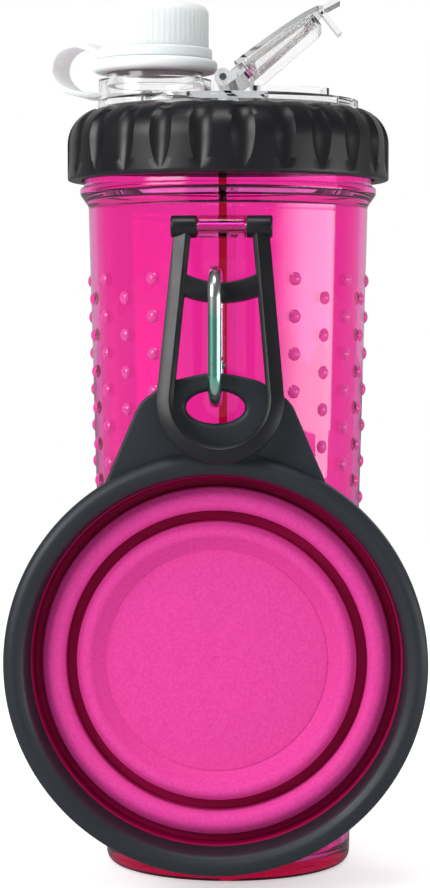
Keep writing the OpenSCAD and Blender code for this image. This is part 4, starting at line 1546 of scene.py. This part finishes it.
@dataclass
class FoldingBowl:
    """The folding bowl: a slate rim with its hanging tab, silicone folds and a silicone floor."""

    centre: tuple[float, float] = (-1.5, 61.53)
    front_y: float = -54.87
    tab_y: float = -48.47
    outer_r: float = 56.0
    depth: float = 11.0
    inner_r: float = 49.5
    tab_top: float = 77.4
    tab_t: float = 4.0
    tab_root_half: float = 30.9
    tab_half: tuple[float, float] = (19.9, 11.5)
    tab_drop: tuple[float, float] = (8.1, 2.6)
    hole_w: float = 15.5
    hole_h: float = 8.6
    hole_z: float = 129.33
    skin_t: float = 1.2
    ridge_r: tuple[float, float] = (43.25, 34.9)
    floor_r: float = 29.6
    floor_t: float = 1.8
    mark_r: float = 1.1
    mark_depth: float = 0.25
    crest: float = 10.3
    valley: float = 16.4
    floor_mid: float = 14.2
    held: float = 1.0
    shade_from: float = 11.2
    shade_to: float = 14.2
    shade_r: float = 32.4
    shade_wall_r: float = 47.6
    segments: int = 192

    def place(self) -> Matrix:
        """Returns the bowl's own place: its axis runs level from the front to the back."""
        return Matrix.Translation((self.centre[0], self.front_y, self.centre[1])) @ Matrix.Rotation(
            -math.pi / 2, 4, "X"
        )

    def rim(self) -> bpy.types.Object:
        """Returns the rim, a rounded lip outside and a funnel inside."""
        r, d, inner = self.outer_r, self.depth, self.inner_r
        corners = [
            (r, 1.5, 3.0),
            (r, d - 1, 0.8),
            (r - 1.5, d, 0.8),
            (inner, d, 0.1),
            (inner, d - 0.8, 0.3),
            (inner + 0.8, 1.5, 1.8),
            (r - 2.8, 0.0, 2.4),
        ]
        return turned("rim", rounded(corners, 8), self.segments, self.place())

    def tab(self) -> bpy.types.Object:
        """Returns the hanging tab with its oval hole."""
        root = self.tab_root_half
        root_z = math.sqrt((self.outer_r - 2.5) ** 2 - root**2)
        shoulder = [(half, self.tab_top - drop, 9.0) for half, drop in zip(self.tab_half, self.tab_drop)]
        right_side = [(root, root_z, 0.5)] + shoulder
        corners = right_side + [(0.0, self.tab_top, 50.0)]
        corners += [(-x, y, r) for x, y, r in reversed(right_side)]
        outline = rounded(corners, 12) + arc((0, 0), self.outer_r - 2.2, 122, 58, 24)
        z = self.hole_z - self.centre[1]
        turns = [-2 * math.pi * i / 64 for i in range(64)]
        hole = [(self.hole_w / 2 * math.cos(a), z + self.hole_h / 2 * math.sin(a)) for a in turns]
        upright = Matrix.Translation((self.centre[0], self.tab_y, self.centre[1])) @ Matrix.Rotation(
            math.pi / 2, 4, "X"
        )
        return plate("tab", [(outline, 0.7), (hole, 1.5)], self.tab_t, upright)

    def folds(self) -> bpy.types.Object:
        """Returns the folded silicone skin, an even wall along a rounded middle line."""
        back, deep, crest = self.depth + self.skin_t / 2 + 0.1, self.valley, self.crest
        outer, inner = self.ridge_r
        corners = [
            (self.inner_r + 2.4, back, 0.0),
            (self.inner_r + 0.2, back, 0.6),
            (self.inner_r - 0.2, deep, 0.9),
            (outer + 3.0, deep, 0.9),
            (outer + 2.7, crest + 1.8, 1.5),
            (outer + 0.9, crest, 2.0),
            (outer - 1.3, crest, 2.0),
            (outer - 2.5, crest + 1.6, 1.2),
            (outer - 2.7, deep, 0.9),
            (inner + 2.0, deep, 0.9),
            (inner + 1.8, crest + 1.6, 1.2),
            (inner + 0.6, crest, 1.6),
            (inner - 0.9, crest, 1.8),
            (inner - 2.2, crest + 1.4, 1.6),
            (self.floor_r + 0.6, self.floor_mid - 0.2, 1.0),
            (self.floor_r + 0.06, self.floor_mid - 0.1, 0.0),
        ]
        line = rounded(corners, 8, closed=False)
        half = self.skin_t / 2
        faces: list[list[Point]] = []
        for side in (1, -1):
            face: list[Point] = []
            for i, p in enumerate(line):
                run = (Vector(line[min(i + 1, len(line) - 1)]) - Vector(line[max(i - 1, 0)])).normalized()
                face.append((p[0] - run.y * half * side, p[1] + run.x * half * side))
            faces.append(face)
        return turned("bowl_folds_silicone", faces[0] + faces[1][::-1], self.segments, self.place())

    def disc(self) -> bpy.types.Object:
        """Returns the bowl's floor, with a rounded edge and a small mark left by the moulding."""
        front, back = self.floor_mid - self.floor_t / 2, self.floor_mid + self.floor_t / 2
        corners = [
            (0.0, front + self.mark_depth, 0.0),
            (self.mark_r - 0.4, front + self.mark_depth, 0.2),
            (self.mark_r, front, 0.3),
            (self.floor_r * 0.5, front, 0.0),
            (self.floor_r, front, 0.15),
            (self.floor_r, back, 0.15),
            (0.0, back, 0.0),
        ]
        profile = rounded(corners, 5, closed=False)
        return turned("bowl_floor_silicone", profile, self.segments, self.place(), looped=False)

    def stretch(self, folds: bpy.types.Object) -> None:
        """Lets the folds stretch evenly between the rim and the floor as the bowl opens.

        Args:
            folds: The folded skin.
        """
        middle = Vector((self.centre[0], self.front_y, self.centre[1])) * MM
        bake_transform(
            folds,
            Body.BOWL_RIM.value,
            Body.BOWL_FLOOR.value,
            start=middle,
            end=middle + Vector((0, self.depth * MM, 0)),
        )
        outer, inner = self.inner_r - self.held, self.floor_r + self.held
        weights = folds.data.attributes["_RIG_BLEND"].data
        for vertex, weight in zip(folds.data.vertices, weights):
            away = vertex.co - middle
            r = math.hypot(away.x, away.z) / MM
            weight.value = min(max((outer - r) / (outer - inner), 0.0), 1.0)

    def shade(self, folds: bpy.types.Object) -> None:
        """Notes how far down in a fold each point lies, for the painted shade in the silicone's folds.

        Args:
            folds: The folded skin.
        """
        values = folds.data.attributes.new(PINK_SILICONE.attribute, "FLOAT", "POINT").data
        first, last = self.shade_from, self.shade_to
        for vertex, value in zip(folds.data.vertices, values):
            x, y, z = vertex.co / MM
            depth = y - self.front_y
            r = math.hypot(x - self.centre[0], z - self.centre[1])
            # painted shade: deep points in the folds, and the whole outer wall, get the dark colour
            down = min(max((depth - first) / (last - first), 0.0), 1.0) if r > self.shade_r else 0.0
            down = 1.0 if r > self.shade_wall_r else down
            value.value = down * down * (3 - 2 * down)

    def build(self) -> None:
        """Builds the rim with its tab, the folds and the floor."""
        rim = combine(self.rim(), self.tab(), Operation.JOIN)
        rim.name = "bowl_rim_moulded"
        seat(rim, Body.BOWL_RIM, SLATE_POLYPROPYLENE, Slot.SLATE, "bowl_rim")
        folds = self.folds()
        self.shade(folds)
        dress(folds, PINK_SILICONE)
        self.stretch(folds)
        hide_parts("bowl_folds")
        log.info("%s: stretches between the rim and the floor", folds.name)
        seat(self.disc(), Body.BOWL_FLOOR, PINK_SILICONE, Slot.PINK_SILICONE, "bowl_floor")


def main() -> None:
    """Builds the studio and then each sub-assembly in order."""
    logging.basicConfig(level=logging.INFO, format="%(message)s", stream=sys.stdout)
    Studio().build()
    assemblies = [
        Tumbler(),
        ScrewCollar(),
        SpoutCap(),
        CapTether(),
        LidInsert(),
        CarryHandle(),
        Carabiner(),
        FoldingBowl(),
    ]
    for assembly in assemblies:
        assembly.build()


if __name__ == "__main__":
    main()
